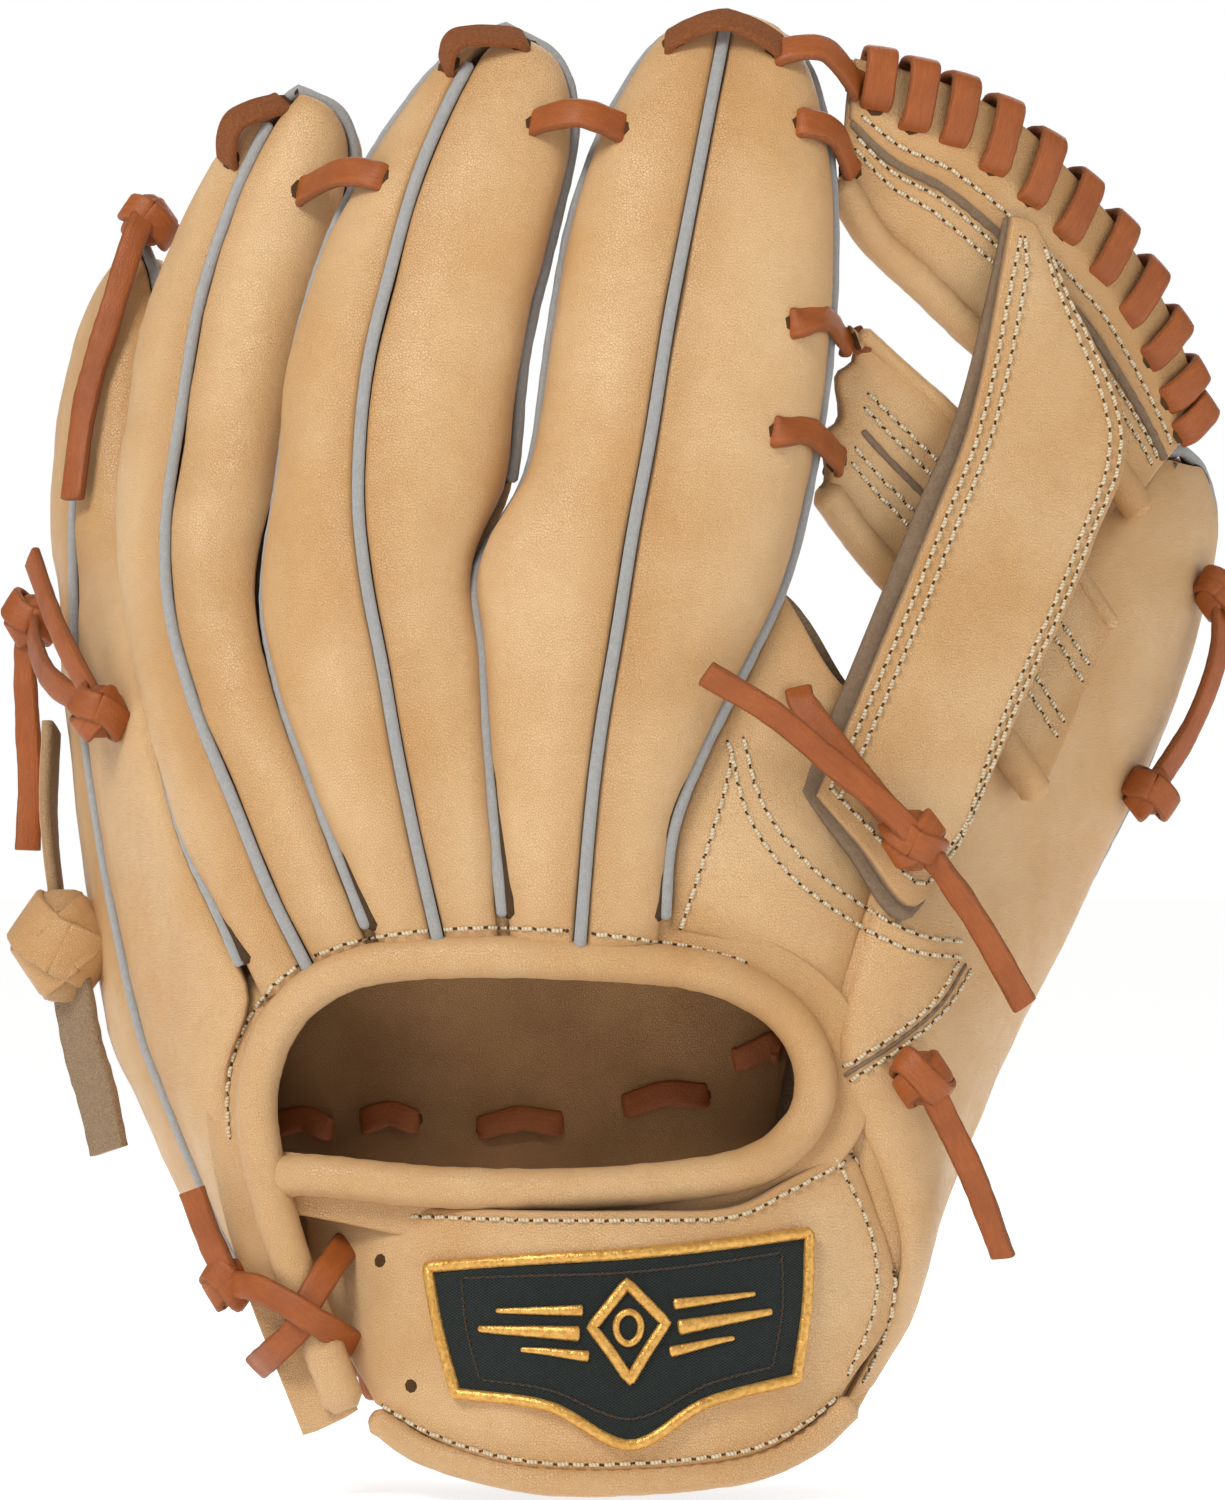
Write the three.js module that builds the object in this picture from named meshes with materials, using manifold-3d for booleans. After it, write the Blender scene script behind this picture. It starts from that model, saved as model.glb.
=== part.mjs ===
// An infielder's baseball glove for the left hand, standing with its fingers up.
// Millimetres. +Z runs up the fingers, -Y is the back of the hand, +Y the palm, +X the thumb.
// The origin is the middle of the space that the hand fills, level with the open back.
import * as THREE from "three";
import { mergeVertices } from "three/addons/utils/BufferGeometryUtils.js";
import Module from "manifold-3d";

// ---- driving dimensions -------------------------------------------------------------------
const SHELL = 2.4; // thickness of the shell leather
const LINER = 1.2; // thickness of the soft inner leather
const FELT_T = 3; // thickness of the felt pads
const GAP = 0.4; // air left between neighbouring solids
const WELT_W = 2.6; // width of a welt where it shows
const WELT_H = 1.5; // how deep a welt sits between two panels
const SEAM = WELT_W / 2 + GAP; // from the middle of a seam to the edge of the panel beside it
const LACE_W = 5.4; // rawhide lace, width
const LACE_T = 2.0; // rawhide lace, thickness
const TAIL_R = 2.0; // free lace ends, as round rods
const BINDING_R = 4.0; // rolled edge of the open back
const PIPING_R = 2.8; // rolled edge of the wrist strap
const FRONT_DEPTH = 10.5; // palm side of a finger stall, measured from its side seams
const FLEECE_T = 6; // pile lining of the wrist strap

// ---- colours ------------------------------------------------------------------------------
const material = (color, roughness, metalness = 0) =>
  new THREE.MeshStandardMaterial({ color, roughness, metalness });
const TAN = material(0xe0b47c, 0.55);
const LACE = material(0xa9501f, 0.6);
const WELT = material(0xa7a6a6, 0.9);
const LINING = material(0x9a6a3c, 0.75);
const FELT = material(0xb9b2a4, 0.95);
const FLEECE = material(0x23242b, 1.0);
const PATCH = material(0x1f2826, 0.85);
const GOLD = material(0xc08a35, 0.35, 0.8);

const glove = new THREE.Group();

// Adds one named mesh to the glove, with a material of its own.
function add(name, geometry, finish) {
  const mesh = new THREE.Mesh(geometry, finish.clone());
  mesh.name = name;
  glove.add(mesh);
}

// ---- joining and cutting ------------------------------------------------------------------
const wasm = await Module();
wasm.setup();

function solid(geometry) {
  const bare = (geometry.index ? geometry.toNonIndexed() : geometry.clone())
    .deleteAttribute("normal")
    .deleteAttribute("uv");
  const merged = mergeVertices(bare, 1e-3);
  return new wasm.Manifold(
    new wasm.Mesh({
      numProp: 3,
      vertProperties: merged.attributes.position.array,
      triVerts: new Uint32Array(merged.index.array),
    }),
  );
}

function geometryOf(body) {
  const mesh = body.getMesh();
  return new THREE.BufferGeometry()
    .setAttribute("position", new THREE.BufferAttribute(mesh.vertProperties.slice(), 3))
    .setIndex(new THREE.BufferAttribute(mesh.triVerts.slice(), 1));
}

const join = (...geometries) => geometryOf(geometries.map(solid).reduce((a, b) => a.add(b)));
const cut = (geometry, ...tools) =>
  geometryOf(tools.reduce((body, tool) => body.subtract(solid(tool)), solid(geometry)));

// ---- curves and surfaces ------------------------------------------------------------------
const vec = (p) => new THREE.Vector3(...p);
const mix = (a, b, t) => a + (b - a) * t;

// A smooth value at position t, from 0 to 1, along a list of numbers.
function along(values, t) {
  const last = values.length - 1;
  const x = Math.min(Math.max(t, 0), 1) * last;
  const i = Math.min(Math.floor(x), last - 1);
  const f = x - i;
  const b = values[i];
  const c = values[i + 1];
  const a = i > 0 ? values[i - 1] : 2 * b - c;
  const d = i + 2 <= last ? values[i + 2] : 2 * c - b;
  return b + 0.5 * f * (c - a + f * (2 * a - 5 * b + 4 * c - d + f * (3 * (b - c) + d - a)));
}

// A smooth point at t along a list of [x, y, z].
const pointAlong = (points, t) =>
  new THREE.Vector3(...[0, 1, 2].map((k) => along(points.map((p) => p[k]), t)));

// A smooth surface through a net: u runs along each row, v from the first row to the last.
const netSurface = (net) => (u, v) => pointAlong(net.map((r) => pointAlong(r, u).toArray()), v);

// The unit normal of a surface, by small steps.
function normalAt(surface, u, v) {
  const step = 1e-3;
  const [u0, u1] = [Math.max(u - step, 0), Math.min(u + step, 1)];
  const [v0, v1] = [Math.max(v - step, 0), Math.min(v + step, 1)];
  const du = surface(u1, v).sub(surface(u0, v));
  const dv = surface(u, v1).sub(surface(u, v0));
  return du.cross(dv).normalize();
}

// The u at a given distance from an edge of a surface, going towards another u.
function inset(surface, v, edge, inner, distance) {
  const from = surface(edge, v);
  let [near, far] = [0, 0.4];
  for (let i = 0; i < 18; i++) {
    const middle = (near + far) / 2;
    if (surface(mix(edge, inner, middle), v).distanceTo(from) < distance) near = middle;
    else far = middle;
  }
  return mix(edge, inner, far);
}

// A geometry from loose triangles, turned round if it came out inside out.
function facingOut(positions) {
  let volume = 0;
  for (let i = 0; i < positions.length; i += 9) {
    const [a, b, c] = [0, 3, 6].map((k) => vec(positions.slice(i + k, i + k + 3)));
    volume += a.dot(b.cross(c));
  }
  if (volume < 0)
    for (let i = 0; i < positions.length; i += 9)
      for (let k = 3; k < 6; k++)
        [positions[i + k], positions[i + k + 3]] = [positions[i + k + 3], positions[i + k]];
  const attribute = new THREE.Float32BufferAttribute(positions, 3);
  return new THREE.BufferGeometry().setAttribute("position", attribute);
}

// A closed solid between two grids of points with the same number of rows and columns.
function solidBetween(top, bottom) {
  const rows = top.length;
  const cols = top[0].length;
  const positions = [];
  const triangle = (...p) => {
    const sides = [0, 1, 2].map((i) => p[i].distanceTo(p[(i + 1) % 3]));
    if (Math.min(...sides) > 1e-3) positions.push(...p.flatMap((q) => q.toArray()));
  };
  const quad = (a, b, c, d) => {
    triangle(a, b, c);
    triangle(a, c, d);
  };
  for (let i = 0; i + 1 < rows; i++) {
    for (let j = 0; j + 1 < cols; j++) {
      quad(top[i][j], top[i][j + 1], top[i + 1][j + 1], top[i + 1][j]);
      quad(bottom[i][j], bottom[i + 1][j], bottom[i + 1][j + 1], bottom[i][j + 1]);
    }
    quad(top[i][0], top[i + 1][0], bottom[i + 1][0], bottom[i][0]);
    const e = cols - 1;
    quad(top[i][e], bottom[i][e], bottom[i + 1][e], top[i + 1][e]);
  }
  const e = rows - 1;
  for (let j = 0; j + 1 < cols; j++) {
    quad(top[0][j], bottom[0][j], bottom[0][j + 1], top[0][j + 1]);
    quad(top[e][j], top[e][j + 1], bottom[e][j + 1], bottom[e][j]);
  }
  return facingOut(positions);
}

// A sheet of a surface, from `near` to `far` along its normal. u may be two functions of v.
function sheet(surface, { u = [0, 1], v = [0, 1], nu = 6, nv = 8, near = 0, far = SHELL }) {
  const at = (limit, b) => (typeof limit === "function" ? limit(b) : limit);
  const grid = (distance) =>
    Array.from({ length: nv + 1 }, (_, i) =>
      Array.from({ length: nu + 1 }, (_, j) => {
        const b = mix(...v, i / nv);
        const a = mix(at(u[0], b), at(u[1], b), j / nu);
        return surface(a, b).addScaledVector(normalAt(surface, a, b), distance);
      }),
    );
  return solidBetween(grid(far), grid(near));
}

// A closed skin over rings of points, with a flat cap on each end.
function loft(rings) {
  const positions = [];
  const push = (...p) => positions.push(...p.flatMap((q) => q.toArray()));
  for (let i = 0; i + 1 < rings.length; i++)
    rings[i].forEach((a, j) => {
      const k = (j + 1) % rings[i].length;
      push(a, rings[i][k], rings[i + 1][k]);
      push(a, rings[i + 1][k], rings[i + 1][j]);
    });
  for (const [ring, turn] of [[rings[0], -1], [rings.at(-1), 1]]) {
    const middle = ring.reduce((s, p) => s.add(p), vec([0, 0, 0])).divideScalar(ring.length);
    ring.forEach((a, j) => {
      const b = ring[(j + 1) % ring.length];
      push(middle, ...(turn > 0 ? [a, b] : [b, a]));
    });
  }
  return facingOut(positions);
}

// A round rod through a list of points.
function rod(points, radius, { sides = 8, steps = 12 } = {}) {
  const path = new THREE.CatmullRomCurve3(points.map(vec), false, "centripetal");
  const section = new THREE.Shape();
  for (let i = 0; i < sides; i++) {
    const a = (2 * Math.PI * i) / sides;
    section[i ? "lineTo" : "moveTo"](radius * Math.cos(a), radius * Math.sin(a));
  }
  return new THREE.ExtrudeGeometry(section, { steps, extrudePath: path, curveSegments: 1 });
}

// A flat lace or strap through a list of points, with its wide side towards `facing`.
function lace(points, facing, { width = LACE_W, thick = LACE_T, steps = 8 } = {}) {
  const path = new THREE.CatmullRomCurve3(points.map(vec), false, "centripetal");
  const rows = Array.from({ length: steps + 1 }, (_, i) => {
    const tangent = path.getTangent(i / steps);
    const side = tangent.clone().cross(vec(facing)).normalize();
    const out = side.clone().cross(tangent).normalize();
    const corner = (s, o) =>
      path.getPoint(i / steps).addScaledVector(side, s * width * 0.5).addScaledVector(out, o * thick * 0.5);
    return [[corner(-1, 1), corner(1, 1)], [corner(-1, -1), corner(1, -1)]];
  });
  return solidBetween(rows.map((r) => r[0]), rows.map((r) => r[1]));
}

// A tied knot: a ball of lace, squashed along each axis to its size.
const knot = (centre, size) =>
  new THREE.IcosahedronGeometry(0.5, 1).scale(...size).translate(...centre);

// ---- the seams of the back ----------------------------------------------------------------
// Each list climbs from the open back to the crotch between two fingers. Both neighbours share it.
const PINKY_RING = [[-54.5, -10, 14], [-60, -9, 27], [-68.5, 0, 45], [-74, 10, 66], [-77.5, 24, 88]];
const RING_MIDDLE = [[-31, -16, 24], [-38, -17, 42], [-44, -15, 58], [-49.5, -10, 74], [-52.5, -3, 92]];
const MIDDLE_INDEX = [[-5.7, -19, 26], [-7.5, -21, 46], [-9, -21, 63], [-10, -18, 80], [-11, -13, 96]];
const INDEX_THUMB = [[25, -18, 25.5], [26.5, -20, 45], [32, -19, 60], [40, -16, 76], [48, -11, 93]];

// ---- finger stalls ------------------------------------------------------------------------
// left, centre and right are the two side seams and the centre welt, with matching stations.
// crotch is the share of its length at which a stall parts from its neighbours.
const INDEX_TIP = [37, 7, 206];
const MIDDLE_TIP = [-6, 7, 203];
const RING_TIP = [-47, 22, 192];
const PINKY_TIP = [-81, 72, 165.5];
const THUMB_TIP = [130, 53, 122];
const STALLS = {
  index: {
    crotch: 0.4,
    left: [
      ...MIDDLE_INDEX,
      [-1, -8, 115], [3, -7, 140], [7, -4, 163], [14, -1, 183], [24, 3, 199], INDEX_TIP,
    ],
    centre: [
      [9, -23, 26], [11, -28, 50], [13, -29.5, 66], [16, -28, 84], [19, -26.5, 103],
      [22.5, -24.5, 122], [26, -22, 144], [30, -18.5, 165], [34, -12.5, 186], [37, -3, 202], INDEX_TIP,
    ],
    right: [
      ...INDEX_THUMB,
      [53, -8, 112], [57, -6, 138], [58, -4, 164], [56, -1, 185], [50, 3, 199], INDEX_TIP,
    ],
  },
  middle: {
    crotch: 0.4,
    left: [
      ...RING_MIDDLE,
      [-49.5, 3, 116], [-46.5, 6, 140], [-40, 8, 162], [-30.5, 9, 180], [-18, 8, 196], MIDDLE_TIP,
    ],
    centre: [
      [-18.7, -20, 25.5], [-22.5, -25, 43], [-26, -26, 60], [-29, -24.5, 77], [-32.5, -21, 95],
      [-34, -17.5, 112], [-32.5, -14.5, 134], [-28, -12, 154], [-22, -7.5, 175], [-13, 0, 195], MIDDLE_TIP,
    ],
    right: [
      ...MIDDLE_INDEX,
      [-4.5, -8, 114], [-2, -7, 138], [3, -4, 160], [7.5, 0, 182], [4.5, 4, 196], MIDDLE_TIP,
    ],
  },
  ring: {
    crotch: 0.4,
    left: [
      ...PINKY_RING,
      [-80, 33, 110], [-79, 40, 130], [-76, 43, 148], [-69, 41, 164], [-59.5, 33, 182], RING_TIP,
    ],
    centre: [
      [-43.5, -14, 18.5], [-51, -17, 34], [-58, -15.5, 51], [-66, -9, 70], [-71.5, 0, 89],
      [-72.5, 8, 107], [-70, 15, 128], [-66.5, 19, 150], [-60, 20, 170], [-53, 20, 185], RING_TIP,
    ],
    right: [
      ...RING_MIDDLE,
      [-50, 10, 114], [-45.5, 16.5, 138], [-40.5, 19, 158], [-36, 20.5, 176], [-38.5, 21, 187], RING_TIP,
    ],
  },
  pinky: {
    crotch: 8 / 14,
    left: [
      [-46, 42, -56], [-62, 45, -40], [-73, 49, -22], [-80, 54, -6], [-84.5, 60, 8],
      [-88, 67, 26], [-90.5, 74, 46], [-92.5, 80, 67], [-94, 85, 87], [-94.5, 88, 106],
      [-94, 90, 123], [-92, 89.5, 138], [-89.5, 87, 150], [-86, 81, 159], PINKY_TIP,
    ],
    centre: [
      [-50, 10, -54], [-60, 12, -37], [-68, 15, -20], [-74, 19, -6], [-78.5, 24, 5],
      [-83, 31, 22], [-87.5, 38, 43], [-91, 45, 64], [-93.5, 51, 85], [-94.2, 56, 106],
      [-93.3, 60, 123], [-91.5, 63, 138], [-88.5, 66, 150], [-85.5, 69, 159], PINKY_TIP,
    ],
    right: [
      [-43, -2, -58], [-52, -3, -36], [-57.5, -5, -15], [-59, -7, -1], ...PINKY_RING,
      [-77.5, 47, 106], [-77, 55, 122], [-76, 59, 137], [-76.5, 63, 149], [-78, 66, 158], PINKY_TIP,
    ],
  },
  thumb: {
    crotch: 9 / 15,
    left: [
      [60, -6, -66], [68, -7, -50], [71, -8, -36], [67, -9, -21], [60.5, -9, -7],
      [59, -10, 7], [63, -7, 24], [68, -4, 40], [74, 1, 55], [80, 8, 69],
      [87, 15, 82], [95, 23, 94], [104, 32, 105], [114, 42, 115], [123, 49, 120.5], THUMB_TIP,
    ],
    centre: [
      [65, 4, -62], [73, 2, -48], [77, 1, -33], [79, 0, -17], [80.5, 0, -1],
      [83, 2, 14], [86, 4, 28], [89.5, 8, 42], [94, 12, 55], [99.5, 17, 69],
      [105, 22, 81], [110.5, 27, 92], [115.5, 32, 102], [120.5, 38, 111], [125.5, 46, 118.5], THUMB_TIP,
    ],
    right: [
      [60, 36, -58], [70, 34, -46], [78, 34, -30], [85, 36, -14], [91, 38, -1],
      [98, 41, 11], [105, 45, 24], [112, 49, 38], [119, 53, 51], [125, 57, 64],
      [130, 61, 77], [133.5, 63.5, 89], [136, 65, 99], [137, 64, 109], [134.5, 60, 118], THUMB_TIP,
    ],
  },
};

// The back of a stall from its side seam (u 0 or 1) over the centre welt (u 0.5).
const stallBack = (stall) => (u, v) => {
  const [l, c, r] = [stall.left, stall.centre, stall.right].map((p) => pointAlong(p, v));
  const across = r.clone().sub(l);
  const width = Math.max(across.length(), 1e-6);
  across.divideScalar(width);
  const reach = c.clone().sub(l).dot(across);
  const crown = c.clone().sub(l).addScaledVector(across, -reach);
  const a = Math.PI * u;
  const side = u < 0.5 ? reach * (1 - Math.cos(a)) : reach - (width - reach) * Math.cos(a);
  const power = mix(1.4, 0.85, Math.min(1, v / stall.crotch));
  return l.addScaledVector(across, side).addScaledVector(crown, Math.sin(a) ** power);
};

// The palm side of a stall, flatter than its back and rounded off towards the tip.
const frontDepth = (v) => FRONT_DEPTH * Math.sqrt(Math.max(0, 1 - Math.max(0, (v - 0.6) / 0.4) ** 2.2));
const stallFront = (stall) => (u, v) => {
  const [l, c, r] = [stall.left, stall.centre, stall.right].map((p) => pointAlong(p, v));
  const across = r.clone().sub(l).normalize();
  const out = c.clone().sub(l);
  out.addScaledVector(across, -out.dot(across)).normalize();
  const a = Math.PI * u;
  const depth = frontDepth(v) * Math.sin(a) ** 0.8;
  return l.lerp(r, (1 - Math.cos(a)) / 2).addScaledVector(out, -depth);
};

// Panels stop short of the tip, where the edge welt turns over.
const TIP_END = { index: 0.96, middle: 0.96, ring: 0.96, pinky: 0.96, thumb: 0.91 };
const PANEL_START = { index: 0.015, middle: 0.015, ring: 0.015, pinky: 0, thumb: 0 };
const PANEL_ROWS = { index: 12, middle: 12, ring: 12, pinky: 16, thumb: 17 };

for (const [name, stall] of Object.entries(STALLS)) {
  const back = stallBack(stall);
  const v = [PANEL_START[name], TIP_END[name]];
  const skin = { nv: PANEL_ROWS[name], nu: 4, v, near: -SHELL, far: 0 };
  const off = (edge, inner, distance) => (b) => inset(back, b, edge, inner, distance);
  const pinkyHalf = { ...skin, u: [off(0, 0.5, SEAM), off(0.5, 0, SEAM)] };
  const thumbHalf = { ...skin, u: [off(0.5, 1, SEAM), off(1, 0.5, SEAM)] };
  add(`${name}_back_panel_pinky_side`, sheet(back, pinkyHalf), TAN);
  add(`${name}_back_panel_thumb_side`, sheet(back, thumbHalf), TAN);
  const w = WELT_W / 2;
  const top = name === "thumb" ? 0.8 : 0.9;
  const strip = { nv: PANEL_ROWS[name], nu: 1, v: [v[0], top], near: -WELT_H, far: 0.3 };
  add(`${name}_centre_welt`, sheet(back, { ...strip, u: [off(0.5, 0, w), off(0.5, 1, w)] }), WELT);
}

// The welt in a stall's side seams, over the fingertip. It runs on down the crease between two fingers.
const WELT_ENDS = {
  index: { left: 0.02, right: 0.02 },
  middle: { left: 0.02, right: 0.5 },
  ring: { left: 0.05, right: 0.54 },
  pinky: { left: 0.01, right: 0.61 },
  thumb: { left: 0.62, right: 0.01 },
};
for (const [name, stall] of Object.entries(STALLS)) {
  const side = (list, from) =>
    Array.from({ length: 12 }, (_, i) => pointAlong(list, mix(from, 0.99, i / 11)).toArray());
  const { left, right } = WELT_ENDS[name];
  const path = [...side(stall.left, left), stall.left.at(-1), ...side(stall.right, right).reverse()];
  add(`${name}_edge_welt`, rod(path, 1.1, { sides: 6, steps: 30 }), WELT);
}

// ---- palm ---------------------------------------------------------------------------------
// Rows climb from the heel to the crotches. Columns run from the pinky's outer seam to the thumb's:
// pinky seam, pinky, crease, ring, crease, middle, crease, index, crease, web, thumb seam, thumb, seam.
const PALM = [
  [[-46, 42, -56], [-43, 42, -60], [-38, 40, -62], [-33, 38, -64], [-25, 34, -66], [-14, 30, -67.5],
    [-2, 28, -68], [12, 28, -68], [24, 30, -67], [34, 33, -65], [44, 36, -62], [54, 38, -60], [62, 36, -58]],
  [[-71, 48, -25], [-60, 45, -24], [-50, 39, -23], [-42, 33, -22], [-32, 29, -22], [-18, 26, -22],
    [-3, 25, -22], [12, 25, -22], [27, 26, -22], [40, 28, -22], [53, 32, -22], [67, 37, -22], [84, 35, -22]],
  [[-85, 61, 10], [-69, 49, 12], [-58, 37, 12], [-49, 28, 12], [-38, 24, 12], [-24, 21, 12],
    [-6, 20, 12], [12, 20, 12], [32, 20, 12], [46, 21, 12], [60, 26, 12], [77, 36, 10], [100, 41, 11]],
  [[-91, 75, 50], [-75, 55, 52], [-67, 34, 50], [-56, 22, 50], [-46, 14, 50], [-30, 11, 50],
    [-10, 7, 50], [14, 7, 50], [38, 6, 50], [54, 8, 50], [70, 17, 50], [90, 36, 44], [118, 51.5, 46]],
  [[-94, 85, 87], [-76, 58, 90], [-74, 29, 90], [-57.5, 18, 91], [-51, 2, 92], [-29.6, 3, 94],
    [-11, -8, 96], [18.5, 0, 94.5], [47, -4, 93], [62, 5, 73], [80, 15, 67], [96, 40, 65], [127, 57, 64]],
];
PALM.forEach((row, k) => {
  row[0] = pointAlong(STALLS.pinky.left, (2 * k) / 14).toArray();
  row[12] = pointAlong(STALLS.thumb.right, (2.25 * k) / 15).toArray();
});
const palm = netSurface(PALM);
const PINKY_FOLD = 2 / 12; // where the palm bends for the pinky, as a share of the net
const THUMB_FOLD = 9.5 / 12; // and for the thumb
const PALM_TOP = 0.985;
const pinkyEdge = (b) => inset(palm, b, 0, 1, SEAM + 2);
const thumbEdge = (b) => inset(palm, b, 1, 0, SEAM + 2.6);
const front = (name, top, extra = 0) => {
  const surface = stallFront(STALLS[name]);
  const u = [(b) => inset(surface, b, 0, 0.5, SEAM), (b) => inset(surface, b, 1, 0.5, SEAM + extra)];
  return sheet(surface, { nu: 5, nv: 8, v: [top, TIP_END[name]], u, near: 0, far: SHELL });
};
const palmPart = (u, nu, v = [0, PALM_TOP]) => sheet(palm, { u, nu, nv: 7, v, near: 0, far: SHELL });
// Both folds open as a V towards the heel, so that the side parts can swing in.
add("palm_shell",
  join(palmPart([PINKY_FOLD + 0.024, THUMB_FOLD - 0.004], 13), front("ring", 0.392), front("middle", 0.385),
    front("index", 0.385)), TAN);
add("palm_shell_pinky_side",
  join(palmPart([pinkyEdge, (b) => PINKY_FOLD - 0.022 - 0.064 * (1 - b)], 3, [0.12, 0.95]), front("pinky", 0.535, 2.2)), TAN);
add("palm_shell_thumb_side",
  join(palmPart([(b) => THUMB_FOLD + 0.006 + 0.07 * (1 - b), thumbEdge], 5), front("thumb", 0.59)), TAN);

const layer = (u, v, from, thick, nu, nv = 6) =>
  sheet(palm, { u, v, nu, nv, near: from, far: from + thick });
const PAD_IN = SHELL + 0.7;
add("palm_pad", layer([0.26, 0.72], [0.06, 0.62], PAD_IN, FELT_T, 8), FELT);
add("thumb_heel_pad", layer([0.885, (b) => thumbEdge(b) - 0.03], [0.08, 0.68], PAD_IN, FELT_T, 3), FELT);

// ---- linings ------------------------------------------------------------------------------
// One ring of the soft tube inside a stall, `side` in from its seams and `depth` in from its skin.
function liningRing(stall, v, side, depth) {
  const [l, c, r] = [stall.left, stall.centre, stall.right].map((p) => pointAlong(p, v));
  const across = r.clone().sub(l).normalize();
  const crown = c.clone().sub(l);
  const reach = crown.dot(across) - side;
  crown.addScaledVector(across, -crown.dot(across));
  l.addScaledVector(across, side);
  const width = r.addScaledVector(across, -side).distanceTo(l);
  const up = crown.clone().normalize();
  const arc = (u, height) => {
    const a = Math.PI * u;
    const near = height < 0 ? width / 2 : reach;
    const x = u < 0.5 ? near * (1 - Math.cos(a)) : near - (width - near) * Math.cos(a);
    return l.clone().addScaledVector(across, x).addScaledVector(up, height * Math.sin(a) ** 0.9);
  };
  const high = crown.length() - depth;
  const low = Math.min(-0.5, depth - frontDepth(v));
  return [...[0.02, 0.25, 0.5, 0.75, 0.98].map((u) => arc(u, high)),
    ...[0.9, 0.7, 0.5, 0.3, 0.1].map((u) => arc(u, low))];
}

// The tube: closed at the tip and open towards the hand.
function liner(stall, bottom, top) {
  const rings = (side, depth, v0, v1) =>
    Array.from({ length: 7 }, (_, i) => liningRing(stall, mix(v0, v1, i / 6), side, depth));
  const hollow = loft(rings(6.5 + LINER, 3.6 + LINER, bottom - 0.03, top - 0.02));
  return cut(loft(rings(6.5, 3.6, bottom, top)), hollow);
}

// The palm lining, with a sewn tab up to each of the three tubes.
const LINING_IN = PAD_IN + FELT_T + GAP;
const TABS = { ring: 0.25, middle: 5 / 12, index: 7 / 12 };
const tab = ([name, u]) => {
  const low = palm(u, 0.78).addScaledVector(normalAt(palm, u, 0.78), LINING_IN + LINER / 2);
  const high = liningRing(STALLS[name], 0.38, 6.5, 3.6 + LINER / 2)[7];
  return rod([low.toArray(), high.toArray()], 1.3, { sides: 6, steps: 2 });
};
add("hand_lining", join(layer([0.245, 0.64], [0.02, 0.8], LINING_IN, LINER, 9, 7),
  ...Object.keys(TABS).map((name) => liner(STALLS[name], 0.36, 0.86)), ...Object.entries(TABS).map(tab)), LINING);
add("pinky_lining", liner(STALLS.pinky, 0.6, 0.86), LINING);
add("thumb_lining", liner(STALLS.thumb, 0.66, 0.82), LINING);

// ---- back of the thumb's root -------------------------------------------------------------
const gusset = netSurface([
  [[25, -18, 27], [41, -14.5, 22.5], [59, -10, 7]],
  [[26.5, -20, 45], [46, -15, 35], [63, -7, 24]],
  [[32, -19, 60], [51, -13, 48], [68, -4, 40]],
  [[40, -16, 76], [57, -10, 61], [74, 1, 55]],
  [[48, -11, 93], [61, -8, 73], [80, 8, 69]],
]);
add("thumb_gusset", sheet(gusset, {
  nu: 5, nv: 8, v: [0, 1], near: -SHELL, far: 0,
  u: [(b) => inset(gusset, b, 0, 1, SEAM), (b) => inset(gusset, b, 1, 0, SEAM)],
}), TAN);

// ---- open back ----------------------------------------------------------------------------
add("opening_binding", rod([
  [-37, -15, -64], [-40.5, -13, -55], [-48, -11.5, -35], [-53, -10.5, -16], [-53.5, -10.5, -3], [-49, -12, 9],
  [-40, -14, 17], [-26.5, -17, 20.8], [-1, -20, 21.5], [28.5, -18, 19.5], [42, -15, 15], [51, -12, 7.5],
  [54.5, -11, -3], [51, -12, -12.5], [40, -17, -19.5], [13, -21, -22.8], [-17, -20, -22.8], [-42, -14, -20.5],
], BINDING_R, { sides: 8, steps: 38 }), TAN);

// ---- wrist strap --------------------------------------------------------------------------
// The strap is bowed round the wrist: its Y follows from X and Z.
const strapY = (x, z) => -26.5 - 2.5 * (1 - ((z + 52) / 28) ** 2) + (x - 10) ** 2 / (x < 10 ? 102 : 170);
const onStrap = (lift) => ([x, z]) => [x, strapY(x, z) - lift, z];
const strap = netSurface([
  [[-31, -65], [-18, -72], [0, -76.3], [20, -76.5], [40, -74.5], [51, -70], [58, -63.5]],
  [[-42, -46], [-22, -50], [0, -52], [20, -52], [40, -51], [55, -48], [68.5, -44]],
  [[-46, -29], [-24, -28.5], [0, -28.5], [20, -28.5], [38, -28], [50, -22], [60, -16]],
].map((row) => row.map(onStrap(0))));
add("wrist_strap", sheet(strap, { nu: 12, nv: 5, near: -SHELL, far: 0 }), TAN);
add("strap_fleece", sheet(strap, {
  nu: 8, nv: 4, u: [0.2, 0.86], v: [0.12, 0.94], near: -SHELL - GAP - FLEECE_T, far: -SHELL - GAP,
}), FLEECE);
add("strap_piping", rod([
  [-29.5, -70], [-19.5, -75.8], [0, -79.8], [20, -80], [41, -78.2], [53, -73.8], [60, -68],
].map(onStrap(-1)), PIPING_R, { sides: 8, steps: 16 }), TAN);

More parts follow.
